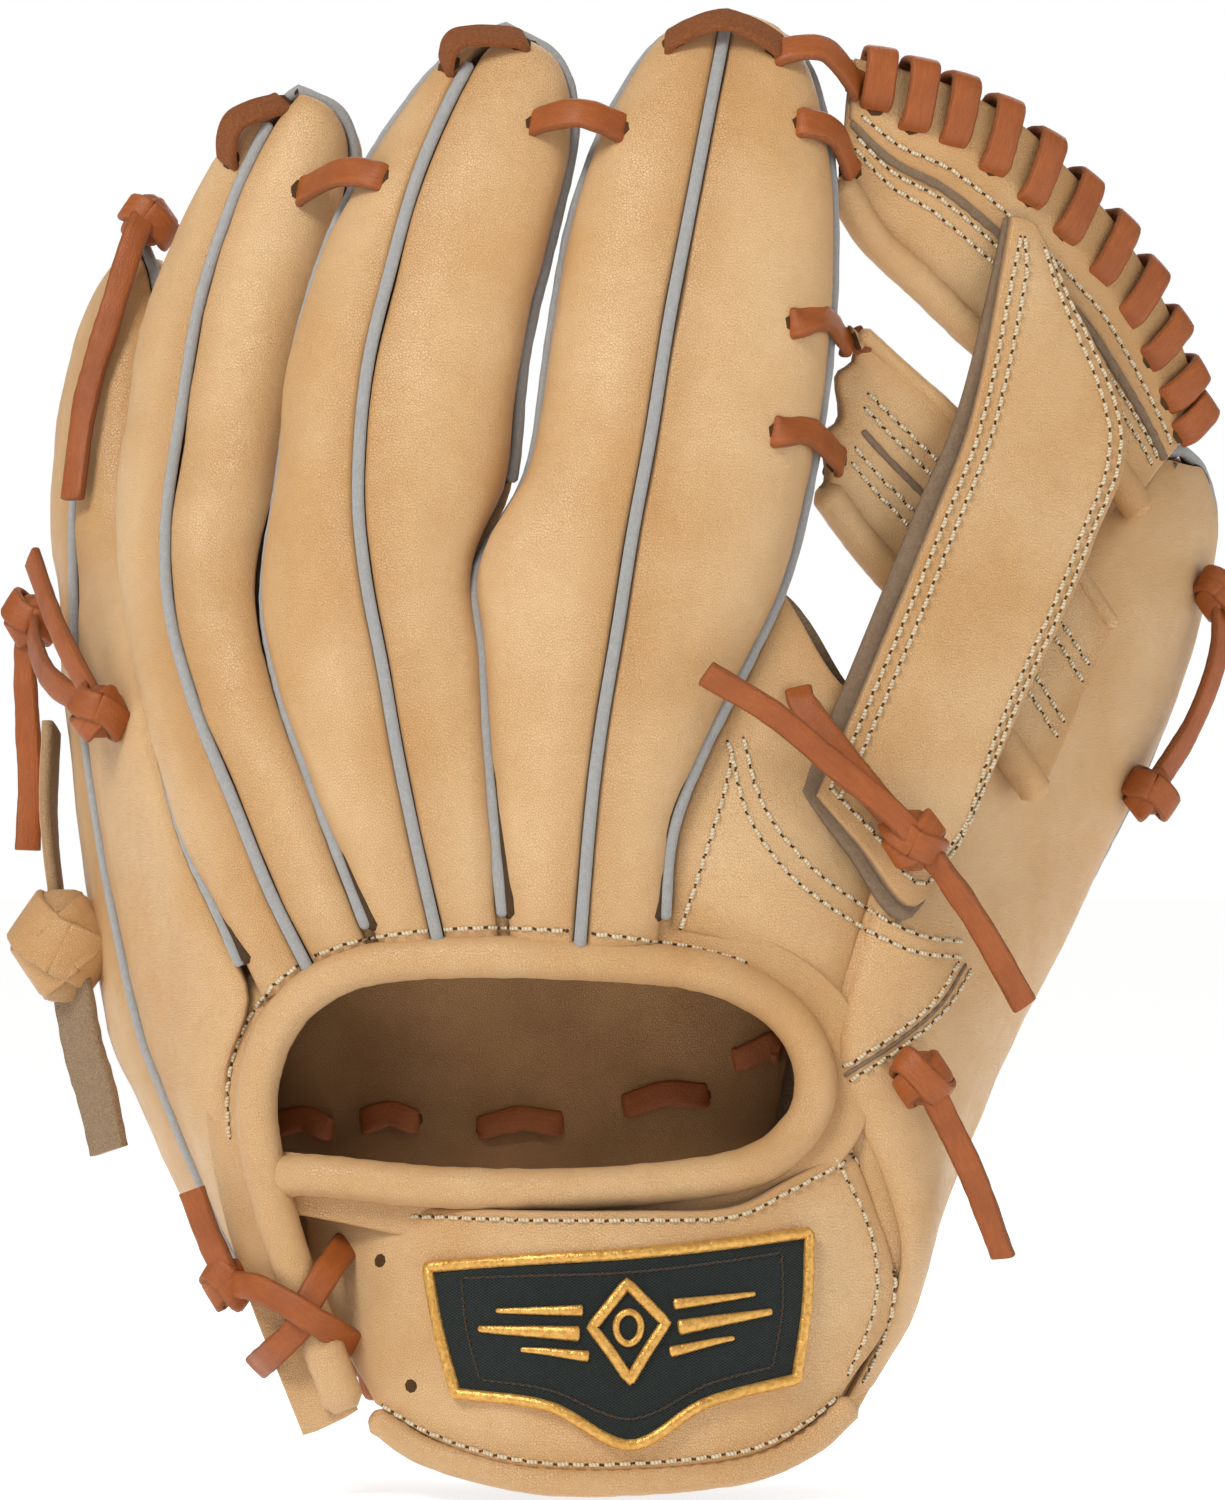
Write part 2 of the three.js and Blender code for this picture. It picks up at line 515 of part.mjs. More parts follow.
// The label is a wide five-sided patch with a raised metal rim. Nothing is printed on it.
const LABEL = [
  [[-15, -62], [3, -64], [18.5, -71.5], [33, -63.5], [50.5, -59.5]],
  [[-18.5, -49], [0, -50], [18, -51], [36, -48], [52.5, -45]],
  [[-20.5, -38], [0, -36], [17.5, -35], [35, -33.5], [53, -31.5]],
];
const label = netSurface(LABEL.map((row) => row.map(onStrap(GAP))));
add("label_patch", sheet(label, { nu: 8, nv: 4, near: 0.3, far: 1.5, u: [0.05, 0.95], v: [0.06, 0.94] }), PATCH);
const rim = [0, 0.25, 0.5, 0.75, 1];
const rimPath = [...rim.map((u) => label(u, 0)), ...rim.slice(1).map((v) => label(1, v)),
  ...rim.slice(1).map((u) => label(1 - u, 1)), ...[0.75, 0.5, 0.25, 0.08].map((v) => label(0, v))];
add("label_rim", rod(rimPath.map((p) => [p.x, p.y - 1.6, p.z]), 0.9, { sides: 6, steps: 28 }), GOLD);

// ---- web ----------------------------------------------------------------------------------
// A wide band over the top, a post down its middle and a bar across behind the post.
const band = netSurface([
  [[59.5, 3, 171.5], [66, 6, 161.5], [75, 10, 153.5], [83, 14, 146], [92, 17, 138], [101, 21, 130],
    [108, 25, 123], [114, 29, 117], [119, 33, 110]],
  [[61, 1, 185], [70, 4, 177], [80, 7, 172], [90, 12, 164.5], [99, 17, 156.5], [108.5, 23, 146.5],
    [115.5, 29, 137], [121.5, 34, 127.5], [126, 38, 119]],
  [[62, 1, 196.5], [73, 3, 194], [84, 8, 190.5], [96, 14, 184], [107, 22, 174], [117, 30, 163],
    [125, 36, 150.5], [130.5, 41, 137], [133, 43, 127.5]],
]);
add("web_top_band", sheet(band, { nu: 12, nv: 3, near: -SHELL, far: 0 }), TAN);
const post = netSurface([
  [[51.3, -15, 53.6], [61.4, -15, 41], [72.2, -12, 28.3], [82.9, -7, 43.9]],
  [[61, -13, 75], [72, -10, 68], [83, -6, 62], [93, -2, 66]],
  [[75, -6, 108], [87, -1, 104], [99, 4, 100], [109, 9, 101]],
  [[84, 2, 130], [93, 5, 128], [104, 10, 126], [116, 16, 126]],
  [[93, 9, 166], [94, 9.5, 166], [97, 11, 165], [100, 12.5, 160]],
]);
add("web_post", sheet(post, { nu: 5, nv: 10, near: -SHELL, far: 0 }), TAN);
const bar = netSurface([
  [[55, -5, 114], [63, 1, 103], [71.5, 5, 93], [80, 5, 80], [90, 4, 65], [99, 6, 52]],
  [[58, -3, 130], [67, 2, 120], [77, 7, 110], [88, 9, 96], [99, 11, 81], [107, 13, 69]],
  [[61.4, -2, 145.3], [72, 3, 136], [83, 8, 126.5], [96, 13, 112], [107.4, 15, 96], [114.5, 17, 86]],
]);
add("web_cross_bar", sheet(bar, { nu: 10, nv: 3, near: -SHELL, far: 0 }), TAN);

// ---- rawhide ------------------------------------------------------------------------------
// One lace whipped over the free edge of the top band, with its return strand behind the band.
const RIM_TURNS = 10;
const rimLoops = Array.from({ length: RIM_TURNS }, (_, i) => {
  const t = mix(0.1, 0.95, i / (RIM_TURNS - 1));
  const off = (v, d, beyond = 0) => {
    const out = band(t, 1).sub(band(t, 0.85)).normalize();
    return band(t, v).addScaledVector(normalAt(band, t, 0.9), d).addScaledVector(out, beyond).toArray();
  };
  const path = [off(0.74, 1.5), off(0.95, 1.7), off(1, 1.2, 1.6), off(1, -1.2, 2.2), off(1, -SHELL - 1.2, 1.6),
    off(0.92, -SHELL - 1.7), off(0.74, -SHELL - 1.6)];
  const rimWay = band(t + 0.02, 1).sub(band(t - 0.02, 1)).toArray();
  return lace(path, rimWay, { width: 1.7, thick: 6, steps: 9 });
});
const behind = Array.from({ length: 9 }, (_, i) => {
  const t = mix(0.05, 0.96, i / 8);
  return band(t, 0.8).addScaledVector(normalAt(band, t, 0.8), -SHELL - 2).toArray();
});
add("web_rim_lace", join(rod(behind, 1, { sides: 6, steps: 14 }), ...rimLoops), LACE);

// Laces across the fingertips, from finger to finger, and from the index finger to the web.
const OUT = [0, -1, 0];
const SHORT_LACES = {
  ring_tip_lace: [[-62, 19, 176], [-58, 14, 181], [-53, 13, 186], [-48.5, 14.5, 190]],
  middle_tip_lace: [[-23, 1.5, 193], [-18, -3.5, 196.5], [-12, -4, 200], [-5, 0, 203.5]],
  index_tip_lace: [[27, -7, 201], [33, -10, 204], [40, -10, 204.5], [46, -7, 203.5]],
  ring_middle_lace: [[-47, 12, 170.5], [-42, 6, 172.5], [-37, 1, 174.5]],
  middle_index_lace: [[-1, -10, 178.5], [6.5, -9.5, 181.5], [14.5, -10, 185]],
  index_web_lace_1: [[52, -4.5, 200.5], [58, -5, 197], [66, -1.5, 192]],
  index_web_lace_2: [[51.5, -14.5, 184], [58, -9.5, 178.5], [65, -1, 173]],
  index_web_lace_3: [[50.5, -21.5, 144], [57, -14.5, 143.5], [64, -5.5, 142]],
  index_web_lace_4: [[48, -23.5, 125.5], [54.5, -17, 121], [60.5, -7.5, 116]],
};
for (const [name, path] of Object.entries(SHORT_LACES)) add(name, lace(path, OUT, { steps: 6 }), LACE);

// Knots, each with the short lengths of lace that run into it.
const KNOT = [10.5, 10, 10.5];
add("pinky_tip_knot", knot([-79.3, 66.5, 169.3], KNOT), LACE);
add("pinky_side_lace", join(
  knot([-86, 16.5, 69], KNOT), knot([-103.4, 72, 88], KNOT),
  lace([[-86.5, 16.5, 69], [-96.5, 34, 75], [-101.5, 55, 82], [-103.4, 72, 88]], [-1, -0.6, 0], { steps: 7 }),
  lace([[-86.5, 16.5, 70], [-95, 30, 85], [-101.5, 46, 100]], [-1, -0.6, 0], { steps: 5 }),
), LACE);
add("strap_cross_lace", join(
  knot([-60.1, -2.6, -42.3], [9, 9, 9]),
  lace([[-60.1, -3.6, -42.3], [-54, -14.5, -42.5], [-44.5, -20.5, -47], [-37, -20, -52], [-32, -16.5, -56]], OUT),
  lace([[-52, -12, -58], [-47, -19.5, -52], [-43, -21.5, -46], [-38, -20, -39], [-35, -16.5, -35]], OUT),
  lace([[-60.1, -3.6, -40.8], [-64, -5.8, -32], [-67, -5, -24]], [-0.5, -1, 0], { steps: 4 }),
), LACE);
add("web_post_knot", join(
  knot([73, -19.5, 44], [12, 11, 12]),
  lace([[51, -16.5, 71], [58, -19.5, 62], [66, -20, 52], [73, -19.5, 44]], OUT, { steps: 6 }),
), LACE);
add("thumb_root_knot", knot([75, -14, -2], KNOT), LACE);
add("thumb_side_lace", join(
  knot([138, 52.5, 93.3], [9, 9, 9]), knot([123, 42.5, 53], [9, 9, 9]),
  lace([[138, 52.5, 93.3], [137, 50, 80], [131.5, 46.5, 66], [123, 42.5, 53]], [1, -0.7, 0], { steps: 6 }),
), LACE);

// The strap that tightens the pinky side: one length of shell leather with a knot in it.
add("adjusting_strap", join(
  lace([[-98.8, 66, 66], [-99.3, 62, 48], [-97, 55, 30], [-95, 50.5, 22]], [-1, -0.5, 0], { width: 12 }),
  knot([-95.3, 50.5, 22], [13.5, 15, 20]),
  lace([[-95.3, 50.5, 16], [-91.5, 49.5, 0], [-87, 46, -17]], [-1, -0.5, 0], { width: 11 }),
), TAN);

// Free lace ends. Each starts at its knot and hangs or stands clear of the leather.
const TAILS = {
  pinky_tip_tail: [[-82.3, 59.5, 165], [-86.6, 57.5, 150.5], [-91.6, 54, 132.3], [-93.5, 49.5, 112]],
  pinky_side_tail: [[-104.8, 72.5, 80.5], [-104.6, 73.5, 68], [-104.2, 73, 54], [-104.2, 72, 41]],
  web_post_tail_long: [[68, -25.5, 50], [58, -27.5, 59], [46, -30.5, 68], [33, -34, 76]],
  web_post_tail_short: [[79, -20, 38], [86, -15, 27], [95, -8, 12]],
  thumb_root_tail: [[78, -16, -7], [84, -12, -20], [91, -5, -37]],
};
for (const [name, path] of Object.entries(TAILS)) add(name, rod(path, TAIL_R, { sides: 8, steps: 8 }), LACE);

export default glove;
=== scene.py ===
"""Looks of an infielder's baseball glove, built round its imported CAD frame. Millimetres until the mesh."""

import bpy
import numpy as np
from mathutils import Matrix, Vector
from mathutils.bvhtree import BVHTree


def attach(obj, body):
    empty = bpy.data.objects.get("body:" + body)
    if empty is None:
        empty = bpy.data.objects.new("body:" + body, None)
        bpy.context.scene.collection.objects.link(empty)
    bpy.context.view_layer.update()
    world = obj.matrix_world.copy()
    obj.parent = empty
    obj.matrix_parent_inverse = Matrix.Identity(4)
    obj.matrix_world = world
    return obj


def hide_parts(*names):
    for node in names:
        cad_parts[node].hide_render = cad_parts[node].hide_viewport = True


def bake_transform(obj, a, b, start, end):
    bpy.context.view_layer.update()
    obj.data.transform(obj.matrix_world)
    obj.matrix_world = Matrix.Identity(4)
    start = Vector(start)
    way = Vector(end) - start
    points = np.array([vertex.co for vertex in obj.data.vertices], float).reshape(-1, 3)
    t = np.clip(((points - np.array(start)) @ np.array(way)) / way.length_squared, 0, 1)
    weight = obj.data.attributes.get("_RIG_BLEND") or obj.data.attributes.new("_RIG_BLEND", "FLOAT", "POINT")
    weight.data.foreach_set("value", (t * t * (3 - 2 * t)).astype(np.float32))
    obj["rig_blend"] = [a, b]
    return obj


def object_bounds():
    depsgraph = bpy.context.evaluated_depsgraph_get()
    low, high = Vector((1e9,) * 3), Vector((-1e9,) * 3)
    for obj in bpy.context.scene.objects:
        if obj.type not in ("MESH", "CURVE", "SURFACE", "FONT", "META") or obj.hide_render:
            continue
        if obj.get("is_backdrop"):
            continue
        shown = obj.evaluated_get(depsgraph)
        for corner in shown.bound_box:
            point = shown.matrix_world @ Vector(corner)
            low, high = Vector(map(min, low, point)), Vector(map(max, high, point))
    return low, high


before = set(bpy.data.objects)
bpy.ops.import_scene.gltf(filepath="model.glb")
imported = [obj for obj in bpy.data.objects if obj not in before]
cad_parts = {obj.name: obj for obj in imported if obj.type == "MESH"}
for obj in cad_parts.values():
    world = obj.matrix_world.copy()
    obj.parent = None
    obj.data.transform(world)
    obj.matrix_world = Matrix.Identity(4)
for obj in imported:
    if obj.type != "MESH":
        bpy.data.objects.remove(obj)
cad_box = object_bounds()
MM = 0.001

# ---- camera -------------------------------------------------------------------------------
EYE = np.array([15.1, -1500.0, 61.4])
VIEW_HEIGHT = 292.5
camera = bpy.data.objects.new("camera", bpy.data.cameras.new("camera"))
bpy.context.scene.collection.objects.link(camera)
camera.location = EYE * MM
camera.rotation_euler = (np.pi / 2, 0, 0)
camera.data.sensor_fit = "VERTICAL"
camera.data.sensor_height = 36
camera.data.lens = 36 * -EYE[1] / VIEW_HEIGHT
bpy.context.scene.camera = camera

# ---- leather sizes ------------------------------------------------------------------------
SHELL = 2.4  # thickness of the shell leather
EDGE_R = 0.95  # rounding of its cut edges
LACE_W, LACE_T = 5.6, 1.9  # width and thickness of a lace
TAIL_W = 5.2
NEAR = 1.2  # from the middle of a seam to the leather beside it


# ---- curves and surfaces ------------------------------------------------------------------
def spline(p, t):
    """Smooth values at t, 0 to 1, through equally spaced points (n, 3) or nets (n, ..., 3)."""
    p, t = np.asarray(p, float), np.asarray(t, float)
    if not t.ndim:
        return spline(p, t.reshape(1))[0]
    if p.ndim == 2:
        p = np.broadcast_to(p.reshape((len(p),) + (1,) * t.ndim + (3,)), (len(p),) + t.shape + (3,))
    p = np.concatenate([2 * p[:1] - p[1:2], p, 2 * p[-1:] - p[-2:-1]])
    last = len(p) - 3
    x = np.clip(t, 0, 1) * last
    i = np.minimum(x.astype(int), last - 1)
    f = (x - i)[..., None]
    a, b, c, d = (np.take_along_axis(p, (i + k)[None, ..., None], 0)[0] for k in range(4))
    return b + 0.5 * f * (c - a + f * (2 * a - 5 * b + 4 * c - d + f * (3 * (b - c) + d - a)))


def unit(a):
    return a / np.maximum(np.linalg.norm(a, axis=-1, keepdims=True), 1e-9)


def pair(u, v):
    return np.broadcast_arrays(np.asarray(u, float), np.asarray(v, float))


def net(rows):
    """A smooth surface through rows of points: u runs along a row, v from row to row, both 0 to 1."""
    def surface(u, v):
        u, v = pair(u, v)
        return spline(np.stack([spline(r, u) for r in rows]), v)

    return surface


def normals(surface, u, v):
    """A surface's outward directions. v may lie below 0 on a surface that is carried on there."""
    u, v = pair(u, v)
    e = 2e-3
    du = surface(np.minimum(u + e, 1), v) - surface(np.maximum(u - e, 0), v)
    dv = surface(u, np.minimum(v + e, 1)) - surface(u, v - e)
    return unit(np.cross(du, dv))


def inset(surface, v, edge, inner, distance):
    """For each v, the u at that distance from an edge."""
    v = np.asarray(v, float)
    near, far = np.zeros_like(v), np.full_like(v, 0.4)
    start = surface(np.full_like(v, edge), v)
    for _ in range(18):
        mid = (near + far) / 2
        short = np.linalg.norm(surface(edge + (inner - edge) * mid, v) - start, axis=-1) < distance
        near, far = np.where(short, mid, near), np.where(short, far, mid)
    return edge + (inner - edge) * far


def curve(points, n):
    """n points equally far apart on a smooth line through the given points."""
    fine = spline(np.asarray(points, float), np.linspace(0, 1, 40 * len(points)))
    return spread(fine, n)


def run(line):
    """Distance along a line at each of its points."""
    return np.concatenate([[0], np.cumsum(np.linalg.norm(np.diff(line, axis=0), axis=1))])


def whole(line):
    return np.linalg.norm(np.diff(line, axis=0), axis=1).sum()


def sample(at, s, values):
    """Values (n, k) known at distances s, read at other distances."""
    return np.stack([np.interp(at, s, values[:, k]) for k in range(values.shape[1])], 1)


def spread(fine, n):
    """n points equally far apart along a line of many points."""
    s = run(fine)
    return sample(np.linspace(0, s[-1], n), s, fine)


def wobble(p, wavelength, seed):
    """A smooth random value from about -1 to 1 at each point."""
    rng = np.random.default_rng(seed)
    k = unit(rng.normal(size=(7, 3))) * 2 * np.pi / wavelength * rng.uniform(0.7, 1.4, (7, 1))
    return np.sin(p @ k.T + rng.uniform(0, 6.28, 7)).sum(-1) / 3.2


# ---- shapes taken from the frame's own design ----------------------------------------------
PINKY_RING = [[-54.5, -10, 14], [-60, -9, 27], [-68.5, 0, 45], [-74, 10, 66], [-77.5, 24, 88]]
RING_MIDDLE = [[-31, -16, 24], [-38, -17, 42], [-44, -15, 58], [-49.5, -10, 74], [-52.5, -3, 92]]
MIDDLE_INDEX = [[-5.7, -19, 26], [-7.5, -21, 46], [-9, -21, 63], [-10, -18, 80], [-11, -13, 96]]
INDEX_THUMB = [[25, -18, 25.5], [26.5, -20, 45], [32, -19, 60], [40, -16, 76], [48, -11, 93]]
INDEX_TIP, MIDDLE_TIP, RING_TIP = [37, 7, 206], [-6, 7, 203], [-47, 22, 192]
PINKY_TIP, THUMB_TIP = [-81, 72, 165.5], [130, 53, 122]
STALLS = {
    "index": dict(
        crotch=0.4, tip=0.975, body="hand", start=-0.012,
        left=MIDDLE_INDEX + [[-1, -8, 115], [3, -7, 140], [7, -4, 163], [14, -1, 183], [24, 3, 199], INDEX_TIP],
        centre=[[9, -23, 26], [11, -28, 50], [13, -29.5, 66], [16, -28, 84], [19, -26.5, 103],
                [22.5, -24.5, 122], [26, -22, 144], [30, -18.5, 165], [34, -12.5, 186], [37, -3, 202],
                INDEX_TIP],
        right=INDEX_THUMB + [[53, -8, 112], [57, -6, 138], [58, -4, 164], [56, -1, 185], [50, 3, 199],
                             INDEX_TIP],
        welt=(0.02, 0.02), palm=(6 / 12, 8 / 12)),
    "middle": dict(
        crotch=0.4, tip=0.975, body="hand", start=-0.012,
        left=RING_MIDDLE + [[-49.5, 3, 116], [-46.5, 6, 140], [-40, 8, 162], [-30.5, 9, 180], [-18, 8, 196],
                            MIDDLE_TIP],
        centre=[[-18.7, -20, 25.5], [-22.5, -25, 43], [-26, -26, 60], [-29, -24.5, 77], [-32.5, -21, 95],
                [-34, -17.5, 112], [-32.5, -14.5, 134], [-28, -12, 154], [-22, -7.5, 175], [-13, 0, 195],
                MIDDLE_TIP],
        right=MIDDLE_INDEX + [[-4.5, -8, 114], [-2, -7, 138], [3, -4, 160], [7.5, 0, 182], [4.5, 4, 196],
                              MIDDLE_TIP],
        welt=(0.02, 0.5), palm=(4 / 12, 6 / 12)),
    "ring": dict(
        crotch=0.4, tip=0.975, body="hand", start=-0.012,
        left=PINKY_RING + [[-80, 33, 110], [-79, 40, 130], [-76, 43, 148], [-69, 41, 164], [-59.5, 33, 182],
                           RING_TIP],
        centre=[[-43.5, -14, 18.5], [-51, -17, 34], [-58, -15.5, 51], [-66, -9, 70], [-71.5, 0, 89],
                [-72.5, 8, 107], [-70, 15, 128], [-66.5, 19, 150], [-60, 20, 170], [-53, 20, 185], RING_TIP],
        right=RING_MIDDLE + [[-50, 10, 114], [-45.5, 16.5, 138], [-40.5, 19, 158], [-36, 20.5, 176],
                             [-38.5, 21, 187], RING_TIP],
        welt=(0.05, 0.54), palm=(2 / 12, 4 / 12)),
    "pinky": dict(
        crotch=8 / 14, tip=0.975, body="pinky_side", start=0.0,
        left=[[-46, 42, -56], [-62, 45, -40], [-73, 49, -22], [-80, 54, -6], [-84.5, 60, 8], [-88, 67, 26],
              [-90.5, 74, 46], [-92.5, 80, 67], [-94, 85, 87], [-94.5, 88, 106], [-94, 90, 123],
              [-92, 89.5, 138], [-89.5, 87, 150], [-86, 81, 159], PINKY_TIP],
        centre=[[-50, 10, -54], [-60, 12, -37], [-68, 15, -20], [-74, 19, -6], [-78.5, 24, 5], [-83, 31, 22],
                [-87.5, 38, 43], [-91, 45, 64], [-93.5, 51, 85], [-94.2, 56, 106], [-93.3, 60, 123],
                [-91.5, 63, 138], [-88.5, 66, 150], [-85.5, 69, 159], PINKY_TIP],
        right=[[-43, -2, -58], [-52, -3, -36], [-57.5, -5, -15], [-59, -7, -1]] + PINKY_RING
              + [[-77.5, 47, 106], [-77, 55, 122], [-76, 59, 137], [-76.5, 63, 149], [-78, 66, 158], PINKY_TIP],
        welt=(0.01, 0.61), palm=(0, 2 / 12)),
    "thumb": dict(
        crotch=9 / 15, tip=0.95, body="thumb_side", start=0.0,
        left=[[60, -6, -66], [68, -7, -50], [71, -8, -36], [67, -9, -21], [60.5, -9, -7], [59, -10, 7],
              [63, -7, 24], [68, -4, 40], [74, 1, 55], [80, 8, 69], [87, 15, 82], [95, 23, 94],
              [104, 32, 105], [114, 42, 115], [123, 49, 120.5], THUMB_TIP],
        centre=[[65, 4, -62], [73, 2, -48], [77, 1, -33], [79, 0, -17], [80.5, 0, -1], [83, 2, 14], [86, 4, 28],
                [89.5, 8, 42], [94, 12, 55], [99.5, 17, 69], [105, 22, 81], [110.5, 27, 92], [115.5, 32, 102],
                [120.5, 38, 111], [125.5, 46, 118.5], THUMB_TIP],
        right=[[60, 36, -58], [70, 34, -46], [78, 34, -30], [85, 36, -14], [91, 38, -1], [98, 41, 11],
               [105, 45, 24], [112, 49, 38], [119, 53, 51], [125, 57, 64], [130, 61, 77], [133.5, 63.5, 89],
               [136, 65, 99], [137, 64, 109], [134.5, 60, 118], THUMB_TIP],
        welt=(0.62, 0.01), palm=(10 / 12, 1)),
}
PALM = [
    [[-46, 42, -56], [-43, 42, -60], [-38, 40, -62], [-33, 38, -64], [-25, 34, -66], [-14, 30, -67.5],
     [-2, 28, -68], [12, 28, -68], [24, 30, -67], [34, 33, -65], [44, 36, -62], [54, 38, -60], [62, 36, -58]],
    [[-71, 48, -25], [-60, 45, -24], [-50, 39, -23], [-42, 33, -22], [-32, 29, -22], [-18, 26, -22],
     [-3, 25, -22], [12, 25, -22], [27, 26, -22], [40, 28, -22], [53, 32, -22], [67, 37, -22], [84, 35, -22]],
    [[-85, 61, 10], [-69, 49, 12], [-58, 37, 12], [-49, 28, 12], [-38, 24, 12], [-24, 21, 12],
     [-6, 20, 12], [12, 20, 12], [32, 20, 12], [46, 21, 12], [60, 26, 12], [77, 36, 10], [100, 41, 11]],
    [[-91, 75, 50], [-75, 55, 52], [-67, 34, 50], [-56, 22, 50], [-46, 14, 50], [-30, 11, 50],
     [-10, 7, 50], [14, 7, 50], [38, 6, 50], [54, 8, 50], [70, 17, 50], [90, 36, 44], [118, 51.5, 46]],
    [[-94, 85, 87], [-76, 58, 90], [-74, 29, 90], [-57.5, 18, 91], [-51, 2, 92], [-29.6, 3, 94],
     [-11, -8, 96], [18.5, 0, 94.5], [47, -4, 93], [62, 5, 73], [80, 15, 67], [96, 40, 65], [127, 57, 64]],
]
for k, palm_row in enumerate(PALM):
    palm_row[0] = list(spline(STALLS["pinky"]["left"], 2 * k / 14))
    palm_row[12] = list(spline(STALLS["thumb"]["right"], 2.25 * k / 15))
palm = net(PALM)


def sides(stall, v):
    return [spline(stall[k], v) for k in ("left", "centre", "right")]


def dot(a, b):
    return (a * b).sum(-1, keepdims=True)


def back_of(stall):
    """The back of a finger: from its left seam (u 0) over the crown to its right seam (u 1)."""
    def surface(u, v):
        u, v = pair(u, v)
        left, centre, right = sides(stall, v)
        width = np.maximum(np.linalg.norm(right - left, axis=-1, keepdims=True), 1e-6)
        across = (right - left) / width
        reach = dot(centre - left, across)
        crown = centre - left - across * reach
        a = np.pi * u[..., None]
        side = np.where(u[..., None] < 0.5, reach * (1 - np.cos(a)), reach - (width - reach) * np.cos(a))
        power = 1.4 + (0.85 - 1.4) * np.minimum(1, v[..., None] / stall["crotch"])
        return left + across * side + crown * np.clip(np.sin(a), 0, 1) ** power

    return surface


FRONT_DEPTH = 10.5


def front_depth(v):
    return FRONT_DEPTH * np.sqrt(np.maximum(0, 1 - np.maximum(0, (v - 0.6) / 0.4) ** 2.2))


def front_of(stall):
    """The front of a finger, between the same two seams."""
    def surface(u, v):
        u, v = pair(u, v)
        left, centre, right = sides(stall, v)
        across = unit(right - left)
        out = centre - left
        out = unit(out - across * dot(out, across))
        a = np.pi * u[..., None]
        depth = front_depth(v)[..., None] * np.clip(np.sin(a), 0, 1) ** 0.8
        return left + (right - left) * (1 - np.cos(a)) / 2 - out * depth

    return surface


def strap_y(x, z):
    """Where the wrist strap's curved surface lies at x and z."""
    return -26.5 - 2.5 * (1 - ((z + 52) / 28) ** 2) + (x - 10) ** 2 / (102 if x < 10 else 170)


def on_strap(row, lift=0.0):
    return [[x, strap_y(x, z) - lift, z] for x, z in row]


gusset = net([
    [[25, -18, 27], [41, -14.5, 22.5], [59, -10, 7]],
    [[26.5, -20, 45], [46, -15, 35], [63, -7, 24]],
    [[32, -19, 60], [51, -13, 48], [68, -4, 40]],
    [[40, -16, 76], [57, -10, 61], [74, 1, 55]],
    [[48, -11, 93], [61, -8, 73], [80, 8, 69]],
])
strap = net([on_strap(r) for r in (
    [[-31, -65], [-18, -72], [0, -76.3], [20, -76.5], [40, -74.5], [51, -70], [59.5, -63.5]],
    [[-42, -46], [-22, -50], [0, -52], [20, -52], [40, -51], [55, -48], [70.5, -44]],
    [[-46, -27.6], [-24, -26.8], [0, -26.8], [20, -26.8], [38, -26.4], [50, -21], [62, -15]])])
label = net([on_strap(r, 0.4) for r in (
    [[-15, -62], [3, -64], [18.5, -71.5], [33, -63.5], [50.5, -59.5]],
    [[-18.5, -49], [0, -50], [18, -51], [36, -48], [52.5, -45]],
    [[-20.5, -38], [0, -36], [17.5, -35], [35, -33.5], [53, -31.5]])])
band = net([
    [[59.5, 3, 171.5], [66, 6, 161.5], [75, 10, 153.5], [83, 14, 146], [92, 17, 138], [101, 21, 130],
     [108, 25, 123], [114, 29, 117], [119, 33, 110]],
    [[61, 1, 185], [70, 4, 177], [80, 7, 172], [90, 12, 164.5], [99, 17, 156.5], [108.5, 23, 146.5],
     [115.5, 29, 137], [121.5, 34, 127.5], [126, 38, 119]],
    [[62, 1, 196.5], [73, 3, 194], [84, 8, 190.5], [96, 14, 184], [107, 22, 174], [117, 30, 163],
     [125, 36, 150.5], [130.5, 41, 137], [133, 43, 127.5]]])
post = net([
    [[51.3, -15, 53.6], [61.4, -15, 41], [72.2, -12, 28.3], [82.9, -7, 43.9]],
    [[61, -13, 75], [72, -10, 68], [83, -6, 62], [93, -2, 66]],
    [[75, -6, 108], [87, -1, 104], [99, 4, 100], [109, 9, 101]],
    [[84, 2, 130], [93, 5, 128], [104, 10, 126], [116, 16, 126]],
    [[93, 9, 166], [94, 9.5, 166], [97, 11, 165], [100, 12.5, 160]]])
bar = net([
    [[55, -5, 114], [63, 1, 103], [71.5, 5, 93], [80, 5, 80], [90, 4, 65], [99, 6, 52]],
    [[58, -3, 130], [67, 2, 120], [77, 7, 110], [88, 9, 96], [99, 11, 81], [107, 13, 69]],
    [[61.4, -2, 145.3], [72, 3, 136], [83, 8, 126.5], [96, 13, 112], [107.4, 15, 96], [114.5, 17, 86]]])


# ---- meshes -------------------------------------------------------------------------------
def build(name, verts, faces, look, body, slot, nodes=(), **extra):
    """A mesh piece from millimetre points. extra holds one number per point, by name."""
    verts = np.asarray(verts, float)
    mesh = bpy.data.meshes.new(name)
    mesh.from_pydata((verts * MM).tolist(), [], [list(map(int, f)) for f in faces])
    mesh.validate()
    for key, values in extra.items():
        mesh.attributes.new(key, "FLOAT", "POINT").data.foreach_set("value", np.asarray(values, np.float32))
    rest = mesh.attributes.new("rest", "FLOAT_VECTOR", "POINT")
    rest.data.foreach_set("vector", verts.astype(np.float32).ravel())
    mesh.polygons.foreach_set("use_smooth", [True] * len(mesh.polygons))
    piece = bpy.data.objects.new(name, mesh)
    bpy.context.scene.collection.objects.link(piece)
    mesh.materials.append(look)
    if isinstance(body, str):
        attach(piece, body)
    else:
        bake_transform(piece, *body[0], start=body[1], end=body[2])
    if nodes:
        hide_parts(*nodes)
    return piece


